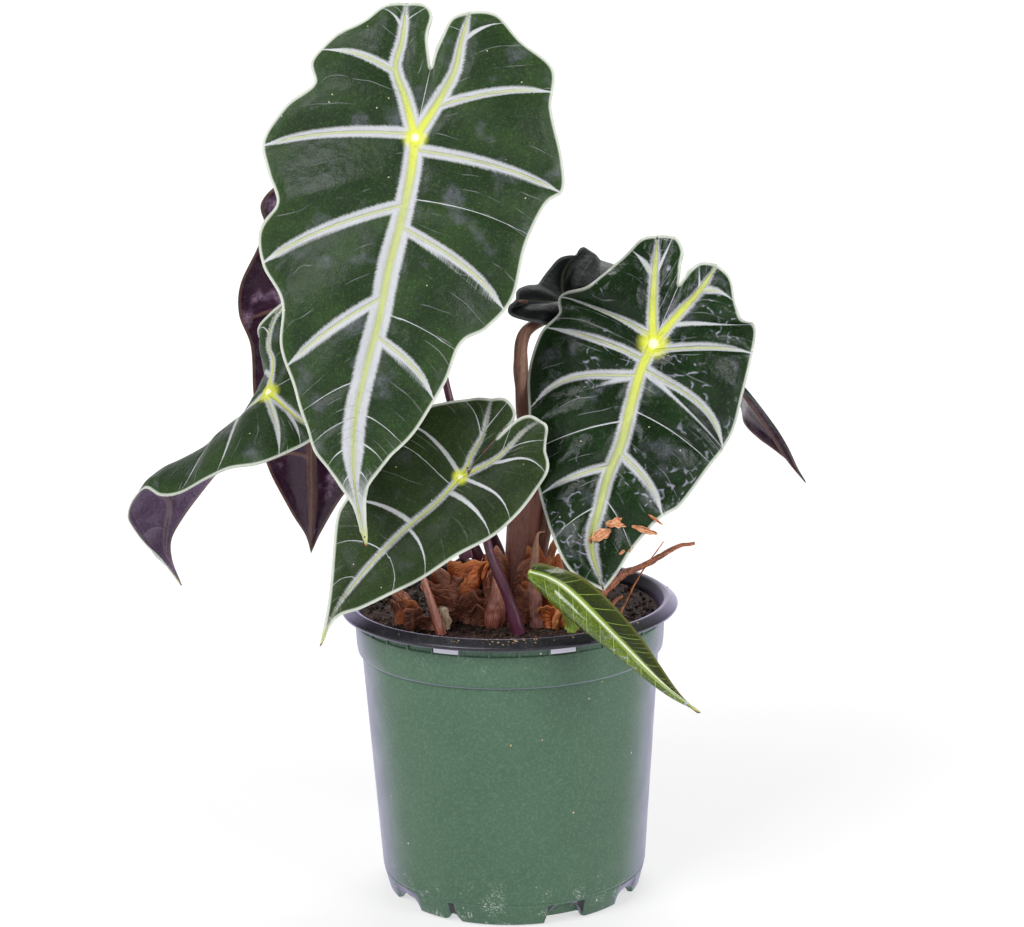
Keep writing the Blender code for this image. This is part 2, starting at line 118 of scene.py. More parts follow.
class AlocasiaStageSettings(bpy.types.PropertyGroup):
    """Floor, light and camera."""

    floor: colour_property("Floor", "Pale plain floor", "#f4f4f4")
    light: FloatProperty(
        name="Light", description="Strength of the soft key light", unit="POWER", default=26.0
    )
    lens: FloatProperty(name="Lens", description="Focal length of the camera", unit="CAMERA", default=78.85)


# ---------------------------------------------------------------- guide points

# Each rib runs from the stalk to the end of a back lobe, an outer edge from there to the tip and an
# inner edge from there into the cleft, the left half first. A vein is (share of the way along the
# rib and midrib, share of the way along the edge, half width in mm).
LEAVES = {
    "front_leaf": {
        "midrib": [(-36, -25, 341), (-38, -30, 326), (-43, -37, 305), (-48, -43, 287),
            (-52, -48, 268), (-58, -53, 247), (-63, -58, 226), (-64, -62, 205), (-62, -65, 189),
            (-59, -68, 174)],
        "ribs": [
            [(-36, -25, 341), (-40, -19, 357), (-44, -14, 370), (-41, -10, 382), (-39, -5, 397)],
            [(-36, -25, 341), (-27, -20, 354), (-19, -15, 368), (-16, -10, 380), (-12, -5, 393)],
        ],
        "inner": [
            [(-39, -5, 397), (-31, -5, 396), (-28, -7, 391), (-30, -10, 382), (-29, -14, 370)],
            [(-12, -5, 393), (-20, -7, 390), (-24, -10, 383), (-27, -12, 376), (-29, -14, 370)],
        ],
        "outer": [
            [(-39, -5, 397), (-49, -5, 396), (-58, -4, 389), (-70, -4, 383), (-80, -9, 374),
                (-79, -16, 364), (-91, -14, 355), (-101, -13, 340), (-99, -21, 327),
                (-95, -31, 315), (-103, -29, 303), (-102, -31, 289), (-93, -42, 274),
                (-94, -48, 256), (-88, -51, 237), (-81, -58, 215), (-71, -63, 201),
                (-63, -66, 188), (-59, -68, 174)],
            [(-12, -5, 393), (0, -5, 391), (10, -6, 379), (23, -9, 367), (22, -19, 352),
                (26, -21, 331), (26, -22, 317), (18, -28, 311), (10, -38, 296), (4, -41, 274),
                (-7, -44, 262), (-18, -50, 256), (-25, -56, 241), (-37, -59, 222), (-49, -62, 210),
                (-58, -64, 198), (-59, -66, 186), (-59, -68, 174)],
        ],
        "veins": [
            [(0.05, 0.04, 1.3), (0.13, 0.15, 2.0), (0.25, 0.34, 2.6), (0.38, 0.54, 2.6),
                (0.55, 0.71, 2.4), (0.70, 0.78, 0.9), (0.77, 0.83, 0.9), (0.82, 0.87, 1.1),
                (0.87, 0.91, 1.2), (0.91, 0.94, 1.3)],
            [(0.06, 0.06, 1.4), (0.19, 0.20, 2.3), (0.28, 0.36, 2.6), (0.37, 0.45, 0.9),
                (
                    0.42, 0.57, 2.4
                ), (0.58, 0.67, 0.9), (0.62, 0.75, 2.2), (0.76, 0.83, 0.9), (0.81, 0.87, 1.1),
                (0.86, 0.91, 1.2), (0.90, 0.94, 1.3)],
        ],
        "cleft_veins": [[(0.87, 0.75, 0.9)], [(0.85, 0.61, 0.8)]],
        "crown": 3,
        "quilt": 1.2,
        "groove": 0.7,
        "ruffle": 1.6,
        "bow": 2,
        "rib_half": (1.5, 3.0, 3.7, 3.6, 2.6),
    },
    "low_leaf": {
        "midrib": [(-20, -38, 197), (-31, -41, 186), (-44, -44, 176), (-56, -48, 165),
            (-68, -52, 152), (-75, -55, 142), (-81, -60, 129)],
        "ribs": [
            [(-20, -38, 197), (-17, -36, 201), (-15, -35, 206), (-10, -32, 214), (-8, -29, 222),
                (-6, -26, 229)],
            [(-20, -38, 197), (-11, -37, 201), (-5, -36, 204), (1, -34, 209), (7, -32, 215),
                (15, -31, 220)],
        ],
        "inner": [
            [(-6, -26, 229), (0, -27, 229), (4, -28, 224), (3, -29, 219), (-4, -33, 213)],
            [(15, -31, 220), (10, -30, 222), (4, -31, 220), (-4, -33, 213)],
        ],
        "outer": [
            [(-6, -26, 229), (-14, -24, 229), (-24, -26, 228), (-37, -25, 225), (-49, -25, 221),
                (-61, -25, 217), (-68, -28, 209), (-70, -32, 200), (-69, -36, 190),
                (-73, -39, 182), (-75, -44, 170), (-76, -50, 156), (-78, -55, 143), (-81, -60, 129)],
            [(15, -31, 220), (18, -33, 217), (17, -33, 207), (18, -40, 200), (12, -40, 190),
                (4, -45, 181), (-7, -46, 172), (-22, -51, 165), (-38, -51, 155), (-50, -55, 150),
                (-63, -55, 144), (-74, -56, 140), (-81, -60, 129)],
        ],
        "veins": [
            [(0.14, 0.08, 0.95), (0.28, 0.28, 1.5), (0.32, 0.43, 0.8), (0.50, 0.59, 1.5),
                (0.63, 0.72, 0.95), (0.75, 0.84, 0.8)],
            [(0.15, 0.07, 0.8), (0.21, 0.18, 1.3), (0.31, 0.35, 1.3), (0.37, 0.42, 1.5),
                (0.54, 0.64, 1.3), (0.64, 0.74, 0.8)],
        ],
        "cleft_veins": [[(0.61, 0.73, 0.95)], [(0.47, 0.41, 0.8)]],
        "crown": 3,
        "quilt": 0.8,
        "groove": 0.5,
        "ruffle": 0.8,
        "bow": 3,
        "rib_half": (0.7, 1.15, 1.2, 1.0, 0.6),
    },
    "right_leaf": {
        "midrib": [(65, -10, 249), (59, -13, 237), (54, -18, 221), (50, -22, 207), (44, -26, 194),
            (40, -30, 181), (36, -35, 165), (41, -41, 146)],
        "ribs": [
            [(65, -10, 249), (65, -6, 262), (66, -2, 276), (67, 1, 285), (68, 4, 295)],
            [(65, -10, 249), (77, -6, 262), (85, -3, 270), (90, 0, 276), (94, 2, 282)],
        ],
        "inner": [
            [(68, 4, 295), (76, 4, 294), (79, 2, 288), (78, 0, 282), (77, -2, 274)],
            [(94, 2, 282), (87, 1, 283), (82, 0, 280), (77, -2, 274)],
        ],
        "outer": [
            [(68, 4, 295), (60, 4, 293), (51, 5, 284), (39, 0, 275), (25, 7, 269), (24, 0, 262),
                (16, 0, 253), (10, -3, 236), (10, -12, 220), (11, -16, 204), (14, -25, 186),
                (19, -32, 169), (27, -38, 154), (41, -41, 146)],
            [(94, 2, 282), (100, 1, 275), (103, -4, 261), (111, 1, 254), (109, -5, 244),
                (104, -12, 226), (99, -15, 209), (88, -24, 196), (75, -27, 180), (65, -33, 175),
                (54, -35, 163), (47, -38, 153), (41, -41, 146)],
        ],
        "veins": [
            [(0.12, 0.07, 1.6), (0.28, 0.27, 2.0), (0.35, 0.36, 2.1), (0.39, 0.55, 2.2),
                (0.52, 0.64, 1.0), (0.65, 0.74, 2.0), (0.76, 0.84, 1.0)],
            [(0.09, 0.11, 1.8), (0.22, 0.20, 1.4), (0.31, 0.28, 2.2), (0.36, 0.53, 2.6),
                (0.48, 0.58, 0.9), (0.60, 0.77, 2.2), (0.73, 0.88, 0.9)],
        ],
        "cleft_veins": [[(0.60, 0.77, 1.4)], [(0.69, 0.61, 1.2)]],
        "crown": 4,
        "quilt": 2.2,
        "groove": 0.7,
        "ruffle": 1.4,
        "bow": 1.8,
        "rib_half": (1.3, 2.2, 2.7, 2.3, 1.1),
    },
    "left_leaf": {
        "midrib": [(-105, -4, 230), (-119, 8, 218), (-133, 20, 205), (-149, 32, 193),
            (-162, 42, 182), (-165, 50, 176), (-160, 55, 168), (-163, 54, 155), (-162, 48, 144),
            (-154, 40, 131)],
        "ribs": [
            [(-105, -4, 230), (-104, 8, 241), (-106, 12, 248), (-103, 12, 260), (-94, 10, 271)],
            [(-105, -4, 230), (-97, -12, 225), (-89, -16, 219), (-80, -18, 214)],
        ],
        "inner": [
            [(-94, 10, 271), (-88, 8, 263), (-88, 5, 251), (-91, 2, 237)],
            [(-80, -18, 214), (-79, -10, 221), (-84, -2, 229), (-91, 2, 237)],
        ],
        "outer": [
            [(-94, 10, 271), (-105, 14, 262), (-111, 20, 254), (-109, 26, 243), (-111, 32, 227),
                (-117, 40, 209), (-128, 50, 192), (-140, 58, 178), (-154, 60, 160),
                (-160, 56, 150), (-159, 48, 142), (-154, 40, 131)],
            [(-80, -18, 214), (-87, -24, 210), (-98, -30, 206), (-108, -32, 203), (-121, -26, 200),
                (-133, -14, 193), (-147, 0, 184), (-157, 10, 181), (-165, 18, 183),
                (-172, 24, 176), (-175.2, 28, 168), (-174, 31, 162), (-169, 34, 153),
                (-162, 37, 144), (-154, 40, 131)],
        ],
        "veins": [
            [(0.11, 0.15, 1.2), (0.21, 0.30, 1.6), (0.36, 0.49, 1.6), (0.58, 0.66, 1.4),
                (0.85, 0.85, 1.0)],
            [(0.12, 0.07, 1.4), (0.19, 0.13, 1.8), (0.30, 0.32, 1.6), (0.42, 0.49, 1.4),
                (0.65, 0.72, 1.2), (0.84, 0.83, 1.0)],
        ],
        "cleft_veins": [[], []],
        "loose": 0.0,
        "stout": 0.4,
        "crown": 2,
        "quilt": 1.6,
        "groove": 0.8,
        "ruffle": 0.4,
        "bow": 3,
        "rib_half": (1.0, 1.8, 1.8, 1.6, 0.8),
    },
    "rear_left_leaf": {
        "midrib": [(-81, 42, 262), (-85, 47, 240), (-89, 52, 216), (-92, 57, 191), (-93, 62, 166),
            (-95, 68, 139)],
        "ribs": [
            [(-81, 42, 262), (-69, 40, 276), (-59, 37, 292), (-53, 34, 305), (-49, 32, 316)],
            [(-81, 42, 262), (-87, 39, 276), (-93, 34, 293), (-98, 30, 309), (-100, 27, 319)],
        ],
        "inner": [
            [(-49, 32, 316), (-58, 32, 315), (-68, 34, 306), (-74, 36, 294), (-77, 38, 282)],
            [(-100, 27, 319), (-90, 29, 316), (-83, 32, 306), (-79, 35, 294), (-77, 38, 282)],
        ],
        "outer": [
            [(-49, 32, 316), (-41, 33, 307), (-40, 37, 293), (-36, 38, 278), (-35, 44, 258),
                (-41, 50, 239), (-45, 52, 220), (-53, 57, 200), (-66, 61, 182), (-80, 64, 165),
                (-90, 66, 149), (-95, 68, 139)],
            [(-100, 27, 319), (-108, 28, 310), (-107, 31, 300), (-111, 32, 289), (-119, 32, 273),
                (-121, 37, 259), (-117, 43, 244), (-117, 46, 222), (-116, 48, 203),
                (-112, 55, 182), (-104, 63, 161), (-97, 66, 148), (-95, 68, 139)],
        ],
        "veins": [
            [(0.14, 0.08, 1.2), (0.38, 0.34, 1.8), (0.59, 0.53, 1.6), (0.72, 0.73, 1.4)],
            [(0.15, 0.09, 1.2), (0.37, 0.37, 1.8), (0.58, 0.56, 1.6), (0.74, 0.74, 1.4)],
        ],
        "cleft_veins": [[], []],
        "crown": 4,
        "quilt": 1.2,
        "groove": 0.7,
        "ruffle": 1.2,
        "bow": 4,
        "rib_half": (1.0, 1.8, 1.8, 1.6, 0.8),
    },
    "rear_right_leaf": {
        "midrib": [(29, 26, 263), (48, 30, 265), (67, 36, 258), (85, 44, 244), (103, 52, 227),
            (116, 60, 209), (126, 66, 194), (135, 68, 180), (143, 66, 170)],
        "ribs": [
            [(29, 26, 263), (20, 19, 265), (12, 14, 266), (6, 10, 267)],
            [(29, 26, 263), (27, 36, 268), (28, 44, 275), (33, 52, 282)],
        ],
        "inner": [
            [(6, 10, 267), (6, 16, 270), (11, 22, 272), (16, 28, 272)],
            [(33, 52, 282), (26, 46, 281), (21, 38, 277), (16, 28, 272)],
        ],
        "outer": [
            [(6, 10, 267), (2, 8, 262), (9, 3, 258), (20, 6, 255), (33, 10, 251), (51, 13, 245),
                (70, 16, 239), (89, 28, 233), (106, 42, 222), (121, 54, 205), (132, 62, 189),
                (138, 66, 178), (143, 66, 170)],
            [(33, 52, 282), (38, 56, 285), (44, 62, 279), (59, 70, 273), (76, 78, 260),
                (92, 84, 241), (105, 86, 222), (113, 84, 205), (114, 80, 196), (120, 76, 189),
                (129, 73, 183), (136, 70, 178), (143, 66, 170)],
        ],
        "veins": [
            [(0.09, 0.03, 1.0), (0.25, 0.17, 1.6), (0.39, 0.39, 1.4), (0.64, 0.70, 1.2)],
            [(0.11, 0.05, 1.6), (0.25, 0.11, 1.6), (0.41, 0.44, 1.4), (0.65, 0.71, 1.2)],
        ],
        "cleft_veins": [[], []],
        "crown": 3,
        "quilt": 1.2,
        "groove": 0.7,
        "ruffle": 1.0,
        "bow": 3,
        "rib_half": (1.0, 1.6, 1.6, 1.4, 0.8),
    },
}

# ---------------------------------------------------------------- curves and grids


def dense(points, steps=40):
    """Many evenly spaced points along a smooth curve through the guide points, in mm."""
    points = np.array(points, float)
    padded = np.vstack([2 * points[0] - points[1], points, 2 * points[-1] - points[-2]])
    fine = []
    for i in range(1, len(padded) - 2):
        a, b, c, d = padded[i - 1 : i + 3]
        for t in np.linspace(0, 1, steps, endpoint=False):
            square, cube = 2 * a - 5 * b + 4 * c - d, 3 * b - a - 3 * c + d
            fine.append(0.5 * (2 * b + (c - a) * t + square * t**2 + cube * t**3))
    fine = np.array(fine + [points[-1]])
    length = run(fine)
    wanted = np.linspace(0, length[-1], 600)
    return np.stack([np.interp(wanted, length, fine[:, k]) for k in range(3)], axis=1)


def run(points):
    """Distance along a row of points."""
    return np.concatenate([[0], np.cumsum(np.linalg.norm(np.diff(points, axis=0), axis=1))])


def at(points, shares):
    """Points at these shares of the way along a dense curve."""
    grid = np.linspace(0, 1, len(points))
    return np.stack([np.interp(shares, grid, points[:, k]) for k in range(3)], axis=-1)


def even_shares(paths, step):
    """Shares from 0 to 1, close enough that no path's points lie further apart than the step."""
    gaps = np.max([np.linalg.norm(np.diff(path, axis=0), axis=1) for path in paths], axis=0) + 1e-6
    length = np.concatenate([[0], np.cumsum(gaps)])
    count = max(3, int(math.ceil(length[-1] / step)) + 1)
    return np.interp(np.linspace(0, length[-1], count), length, np.linspace(0, 1, len(paths[0])))


def named(piece, name):
    """The piece, with this name on it and on its mesh."""
    piece.name = piece.data.name = name
    return piece


def copies(first, count):
    """This many of the object, itself the first, each with a mesh of its own."""
    made = [first]
    for _ in range(count - 1):
        copy = first.copy()
        copy.data = first.data.copy()
        bpy.context.collection.objects.link(copy)
        made.append(copy)
    return made


def deselect():
    """Leaves edit mode and deselects everything."""
    if bpy.context.object and bpy.context.object.mode != "OBJECT":
        bpy.ops.object.mode_set(mode="OBJECT")
    bpy.ops.object.select_all(action="DESELECT")


def grid_piece(name, points, fields=None, turned=False):
    """A grid primitive whose corners are moved to rows of points in mm, with number fields on them."""
    points = np.asarray(points, float)
    if turned:
        points = points[::-1]
        fields = {key: value[::-1] for key, value in (fields or {}).items()}
    rows, columns = points.shape[:2]
    deselect()
    bpy.ops.mesh.primitive_grid_add(x_subdivisions=columns - 1, y_subdivisions=rows - 1, size=1)
    piece = named(bpy.context.object, name)
    piece.data.vertices.foreach_set("co", points.reshape(-1) * MM)
    for key, value in (fields or {}).items():
        layer = piece.data.attributes.new(key, "FLOAT", "POINT")
        layer.data.foreach_set("value", np.asarray(value, float).reshape(-1))
    piece.data.update()
    return piece


def join(pieces, name, weld=0.02):
    """Joins pieces into one mesh and merges the points that coincide."""
    deselect()
    for piece in pieces:
        piece.select_set(True)
    bpy.context.view_layer.objects.active = pieces[0]
    if len(pieces) > 1:
        bpy.ops.object.join()
    piece = named(bpy.context.object, name)
    if weld:
        bpy.ops.object.mode_set(mode="EDIT")
        bpy.ops.mesh.select_all(action="SELECT")
        bpy.ops.mesh.remove_doubles(threshold=weld * MM)
        bpy.ops.mesh.dissolve_degenerate(threshold=1e-6)
        bpy.ops.object.mode_set(mode="OBJECT")
    return piece


def apply_modifier(piece, kind, **settings):
    """Adds a modifier with these settings to the piece and applies it."""
    deselect()
    piece.select_set(True)
    bpy.context.view_layer.objects.active = piece
    modifier = piece.modifiers.new(kind.title(), kind)
    for key, value in settings.items():
        setattr(modifier, key, value)
    bpy.ops.object.modifier_apply(modifier=modifier.name)


def settle(piece, nodes=(), angle=60):
    """Shades the piece, puts it on the root body and hides the CAD nodes that it stands for."""
    deselect()
    piece.select_set(True)
    bpy.context.view_layer.objects.active = piece
    bpy.ops.object.transform_apply(location=True, rotation=True, scale=True)
    bpy.ops.object.shade_smooth_by_angle(angle=math.radians(angle))
    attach(piece, "root")
    if nodes:
        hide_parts(*nodes)


def field(piece, name):
    """One number for each point of the piece, from its named attribute."""
    values = np.empty(len(piece.data.vertices), np.float32)
    piece.data.attributes[name].data.foreach_get("value", values)
    return values.astype(float)


def points_of(piece):
    """The piece's points, one row each."""
    values = np.empty(len(piece.data.vertices) * 3, np.float32)
    piece.data.vertices.foreach_get("co", values)
    return values.reshape(-1, 3).astype(float)


def push(piece, distances):
    """Moves each point along its own normal, by metres."""
    normals = np.empty(len(piece.data.vertices) * 3, np.float32)
    piece.data.vertex_normals.foreach_get("vector", normals)
    moved = points_of(piece) + normals.reshape(-1, 3) * np.asarray(distances)[:, None]
    piece.data.vertices.foreach_set("co", moved.reshape(-1))
    piece.data.update()


# ---------------------------------------------------------------- materials


# The kinds of shader node: type, settings, the inputs that its values go to in turn, and its output.
KINDS = {
    "place": ("TexCoord", {}, (), "Object"),
    "field": ("Attribute", {}, (), "Fac"),
    "noise": ("TexNoise", {}, ("Vector", "Scale", "Detail"), 0),
    "cells": ("TexVoronoi", {}, ("Vector", "Scale"), "Distance"),
    "facing": ("LayerWeight", {}, ("Blend",), "Facing"),
    "xyz": ("CombineXYZ", {}, (0, 1, 2), 0),
    "split": ("SeparateXYZ", {}, (0,), "X"),
    "length": ("VectorMath", {"operation": "LENGTH"}, (0,), "Value"),
    "ramp": ("MapRange", {"interpolation_type": "SMOOTHSTEP"}, (0, 1, 2, 3, 4), 0),
    "line": ("MapRange", {}, (0, 1, 2, 3, 4), 0),
    "blend": ("Mix", {"data_type": "RGBA"}, (0, 6, 7), 2),
    "bump": ("Bump", {}, ("Height", "Strength", "Distance"), 0),
    "times": ("Math", {"operation": "MULTIPLY"}, (0, 1), 0),
    "over": ("Math", {"operation": "DIVIDE"}, (0, 1), 0),
    "plus": ("Math", {"operation": "ADD"}, (0, 1), 0),
    "minus": ("Math", {"operation": "SUBTRACT"}, (0, 1), 0),
    "larger": ("Math", {"operation": "MAXIMUM"}, (0, 1), 0),
    "size": ("Math", {"operation": "ABSOLUTE"}, (0,), 0),
    "part": ("Math", {"operation": "FRACT"}, (0,), 0),
    "whole": ("Math", {"operation": "FLOOR"}, (0,), 0),
}


def add(tree, kind, *inputs, **settings):
    """Adds a node of one of these kinds, with its settings and its inputs, each a value or another
    node's output, and returns its output."""
    shader_type, own_settings, sockets, output = KINDS[kind]
    node = tree.nodes.new("ShaderNode" + shader_type)
    for key, value in {**own_settings, **settings}.items():
        setattr(node, key, value)
    for socket, value in zip(sockets, inputs):
        if isinstance(value, bpy.types.NodeSocket):
            tree.links.new(value, node.inputs[socket])
        else:
            node.inputs[socket].default_value = value
    return node.outputs[output]


def new_material(name, **shader_values):
    """A material with a principled shader that has these values. Returns it, a function that adds a
    node to it, and one that links an output to an input of the shader."""
    material = bpy.data.materials.new(name)
    material.use_nodes = True
    tree = material.node_tree
    shader = tree.nodes["Principled BSDF"]
    for key, value in shader_values.items():
        shader.inputs[key.replace("_", " ")].default_value = value

    def link(output, socket):
        tree.links.new(output, shader.inputs[socket])

    return material, partial(add, tree), link


def tinted(colour, factor=1.0, more=0.0):
    """The colour made lighter or darker, and opaque."""
    return (*(min(c * factor + more, 1.0) for c in colour[:3]), 1.0)


def spaced(size_mm):
    """Scale of a pattern whose features are this many mm across, on metre coordinates."""
    return 1000.0 / size_mm


# Linear colours that all the leaves share.
WAXY_TINT = (0.93, 0.89, 1.0, 1.0)
# Painted sheen and glints: lavender patches and short curved strokes in the colour that stand for
# highlights of the lights on the waxy skin, above and beneath
PAINTED_SHEEN_TOP, PAINTED_SHEEN_BENEATH = (0.24, 0.23, 0.31, 1.0), (0.40, 0.26, 0.40, 1.0)
GLINT = (0.42, 0.42, 0.54, 1.0)
# painted highlight: pale yellow-white middle of the stalk joint, over its real yellow
JOINT_HIGHLIGHT = (0.95, 0.93, 0.62, 1.0)
TIP_YELLOW, TIP_POINT = (0.52, 0.55, 0.22, 1.0), (0.20, 0.05, 0.02, 1.0)
DUST_SPECK = (0.66, 0.60, 0.42, 1.0)


def leaf_face(
    name, colours, roughness, coat, vein_bump, fine_bump, swell=0.0, under=False,
    gloss=0.3, reach=12.0, joint=3.0, middle=0.28, net=0.26, painted_sheen=0.0, frost=0.0, curls=0.0,
):
    """Leaf cuticle: a waxy skin over green tissue, with silvery bands along the veins.

    The blade carries these fields: phase counts the side veins, gap is mm for one count, half is a
    vein's half width, rib and rib_mm are the distance from the main rib in half widths and mm,
    along is mm from the rib, edge is mm from the margin, hub is mm from the stalk and tip is mm from
    the tip.

    Joint is the radius of the yellow spot over the stalk and reach is how far the yellow runs along
    the ribs, both in mm. Middle is the share of a rib that its line fills. Net, haze and curls are
    the strengths of the arcs between the veins, of the painted lavender sheen, which stands for soft
    highlights of the lights, and of the painted glints. Frost is the length of the whitened tip, in mm."""
    green, light, band, line, hub, margin = (tinted(c) for c in colours)
    material, node, link = new_material(
        name,
        Coat_Weight=coat,
        Coat_Roughness=0.12,
        Specular_Tint=WAXY_TINT,
        Specular_IOR_Level=gloss,
    )
    phase, gap, along, half, rib, rib_mm, edge_mm, hub_mm, tip_mm = (
        node("field", attribute_name=key)
        for key in ("phase", "gap", "along", "half", "rib", "rib_mm", "edge", "hub", "tip")
    )
    half = node("ramp", half, 0.7, 2.6, 0.10, 2.5)
    if under:
        # beneath, the main ribs show as narrow lines
        rib_mm = node("times", rib_mm, 2.4)
    # veins grow thin towards the margin
    half = node("times", half, node("ramp", edge_mm, 0.5, 9.0, 0.4, 1.0))
    rib = node("over", rib, node("ramp", edge_mm, 0.5, 11.0, 0.3, 1.0))
    place = node("place")

    # distance from the nearest side vein, mm
    shifted = node("part", node("plus", phase, 100.5))
    across = node("times", node("size", node("minus", shifted, 0.5)), gap)

    # feathering: fine hairs of pale tissue, about 0.5 mm apart, that leave the vein at a slant
    slant = node("minus", along, node("times", across, 0.5))
    side = node("times", node("whole", node("times", phase, 2.0)), 13.7)
    hair_at = node("xyz", slant, side, node("times", across, 0.2))
    hair = node("noise", hair_at, 2.8, 3.0)
    rib_slant = node("minus", hub_mm, node("times", rib_mm, 0.5))
    rib_at = node("xyz", rib_slant, node("times", rib_mm, 0.2))
    rib_hair = node("noise", rib_at, 2.6, 3.0)

    # silvery bands: solid up to the vein's half width, then feathered over about 1 mm
    soft = node("ramp", half, 0.1, 1.6, 0.16, 1.0)
    ragged = node("over", node("minus", across, half), soft)
    ragged = node("plus", ragged, node("times", node("minus", hair, 0.5), 1.9))
    side_band = node("ramp", ragged, -0.6, 0.9, 1.0, 0.0)
    half_rib = node("over", rib_mm, node("larger", rib, 0.02))
    rib_ragged = node("minus", rib_mm, node("times", half_rib, 1.25))
    rib_ragged = node("plus", rib_ragged, node("times", node("minus", rib_hair, 0.5), 2.2))
    rib_band = node("ramp", rib_ragged, -0.8, 0.9, 1.0, 0.0)
    bands = node("larger", side_band, rib_band)
    if frost:
        frayed = node("plus", tip_mm, node("times", node("minus", hair, 0.5), 16.0))
        bands = node("larger", bands, node("ramp", frayed, frost * 0.45, frost, 0.95, 0.0))

    # the yellow-green line in the middle of each vein: wide on the main rib, a thread on side veins
    thread = node(
        "times", node("ramp", across, 0.15, 0.9, 1.0, 0.0), node("ramp", half, 0.6, 1.8, 0.0, 0.7)
    )
    rib_line = node(
        "ramp", node("plus", rib, node("times", hub_mm, 0.0022)), middle, middle + 0.55, 0.9, 0.0
    )
    lines = node("larger", thread, rib_line)

    # faint arcs between the side veins, a third of the way apart, that fade in and out
    wander = node("times", node("minus", node("noise", place, spaced(20.0), 1.0), 0.5), 0.3)
    third = node("part", node("plus", node("times", node("plus", phase, wander), 3.0), 100.5))
    third_mm = node("times", node("size", node("minus", third, 0.5)), node("over", gap, 3.0))
    arcs = node(
        "times", node("ramp", third_mm, 0.10, 0.36, 1.0, 0.0),
        node("ramp", node("noise", place, spaced(12.0)), 0.46, 0.66, 0.0, net)
    )

    # slow change of green over the blade, with a grain of 1 mm cells
    cloud = node("noise", place, spaced(22.0), 4.0)
    grain = node("noise", place, spaced(1.3), 3.0)
    near_edge = node("ramp", edge_mm, 0.0, 9.0, 0.75, 0.0)
    fresh = node("larger", near_edge, node("times", node("ramp", cloud, 0.42, 0.7), 0.6))
    ground = node("blend", node("times", fresh, node("ramp", grain, 0.3, 0.7, 0.6, 1.0)), green, light)
    shade = node("blend", node("ramp", grain, 0.38, 0.66, 0.0, 0.5), ground, tinted(green, 0.5))
    shade = node(
        "blend", node("ramp", node("noise", place, spaced(0.8), 2.0), 0.54, 0.72, 0.0, 0.3), shade,
        tinted(light, 2.2)
    )
    if painted_sheen:
        # painted lavender sheen in slow patches, broken by the grain: soft highlights of the lights put
        # into the colour
        patch = node(
            "times", node("ramp", node("noise", place, spaced(15.0), 3.0), 0.57, 0.72),
            node("ramp", grain, 0.35, 0.62, 0.35, 1.0)
        )
        shade = node(
            "blend", node("times", patch, painted_sheen), shade,
            PAINTED_SHEEN_BENEATH if under else PAINTED_SHEEN_TOP
        )
    netted = node("blend", arcs, shade, band)
    banded = node("blend", node("times", bands, node("ramp", hair, 0.3, 0.6, 0.86, 1.0)), netted, band)
    lined = node("blend", lines, banded, line)
    edged = node("blend", node("ramp", edge_mm, 0.7, 1.65, 0.95, 0.0), lined, margin)
    if curls:
        # short curved glints along the quilting of the waxy skin, in loose groups
        ridge = node("size", node("minus", node("noise", place, spaced(5.5), 0.5), 0.5))
        group = node(
            "times", node("ramp", node("noise", place, spaced(24.0), 1.0), 0.50, 0.60),
            node("ramp", node("noise", place, spaced(3.2), 1.0), 0.48, 0.62, 0.0, curls)
        )
        edged = node(
            "blend", node("times", node("ramp", ridge, 0.0, 0.06, 1.0, 0.0), group), edged,
            GLINT
        )
    if not under:
        rays = node("ramp", hub_mm, reach * 0.1, reach, 0.85, 0.0)
        glow = node(
            "larger", node("times", rays, rib_line),
            node("ramp", hub_mm, joint * 0.5, joint * 1.5, 1.0, 0.0)
        )
        edged = node("blend", glow, edged, hub)
        # painted highlight: the middle of the real yellow joint is paled to yellow-white
        edged = node(
            "blend", node("ramp", hub_mm, joint * 0.2, joint * 0.55, 0.9, 0.0), edged,
            JOINT_HIGHLIGHT
        )
    if frost:
        # the drawn-out tip turns yellow and ends in a red-brown point
        edged = node("blend", node("ramp", tip_mm, 4.0, 11.0, 0.8, 0.0), edged, TIP_YELLOW)
        edged = node("blend", node("ramp", tip_mm, 0.8, 2.0, 0.9, 0.0), edged, TIP_POINT)
    if not under:
        # tiny pale and orange specks of dust, about 0.5 mm, far apart
        speck = node("ramp", node("cells", place, 120.0), 0.028, 0.045, 0.8, 0.0)
        edged = node("blend", speck, edged, DUST_SPECK)
    link(edged, "Base Color")

    # roughness: veins are duller than the waxy skin, with slow patches of bloom
    bloom = node("ramp", cloud, 0.3, 0.7, roughness * 0.8, roughness * 1.25)
    link(node("plus", bloom, node("times", bands, 0.15)), "Roughness")

    # relief: sunken vein lines, which stand out beneath, ripples of 4 mm and skin cells of 0.7 mm
    sink = node("times", node("plus", lines, node("times", arcs, 1.5)), vein_bump)
    skin = node(
        "plus", node("times", node("noise", place, spaced(0.7)), 0.3), node("noise", place, spaced(4.0))
    )
    height = node("plus", node("times", sink, 1.0 if under else -1.0), node("times", skin, fine_bump))
    if swell:
        height = node("plus", height, node("times", node("noise", place, spaced(7.5), 1.0), swell))
    link(node("bump", height, 1.0, 0.0006), "Normal")
    return material


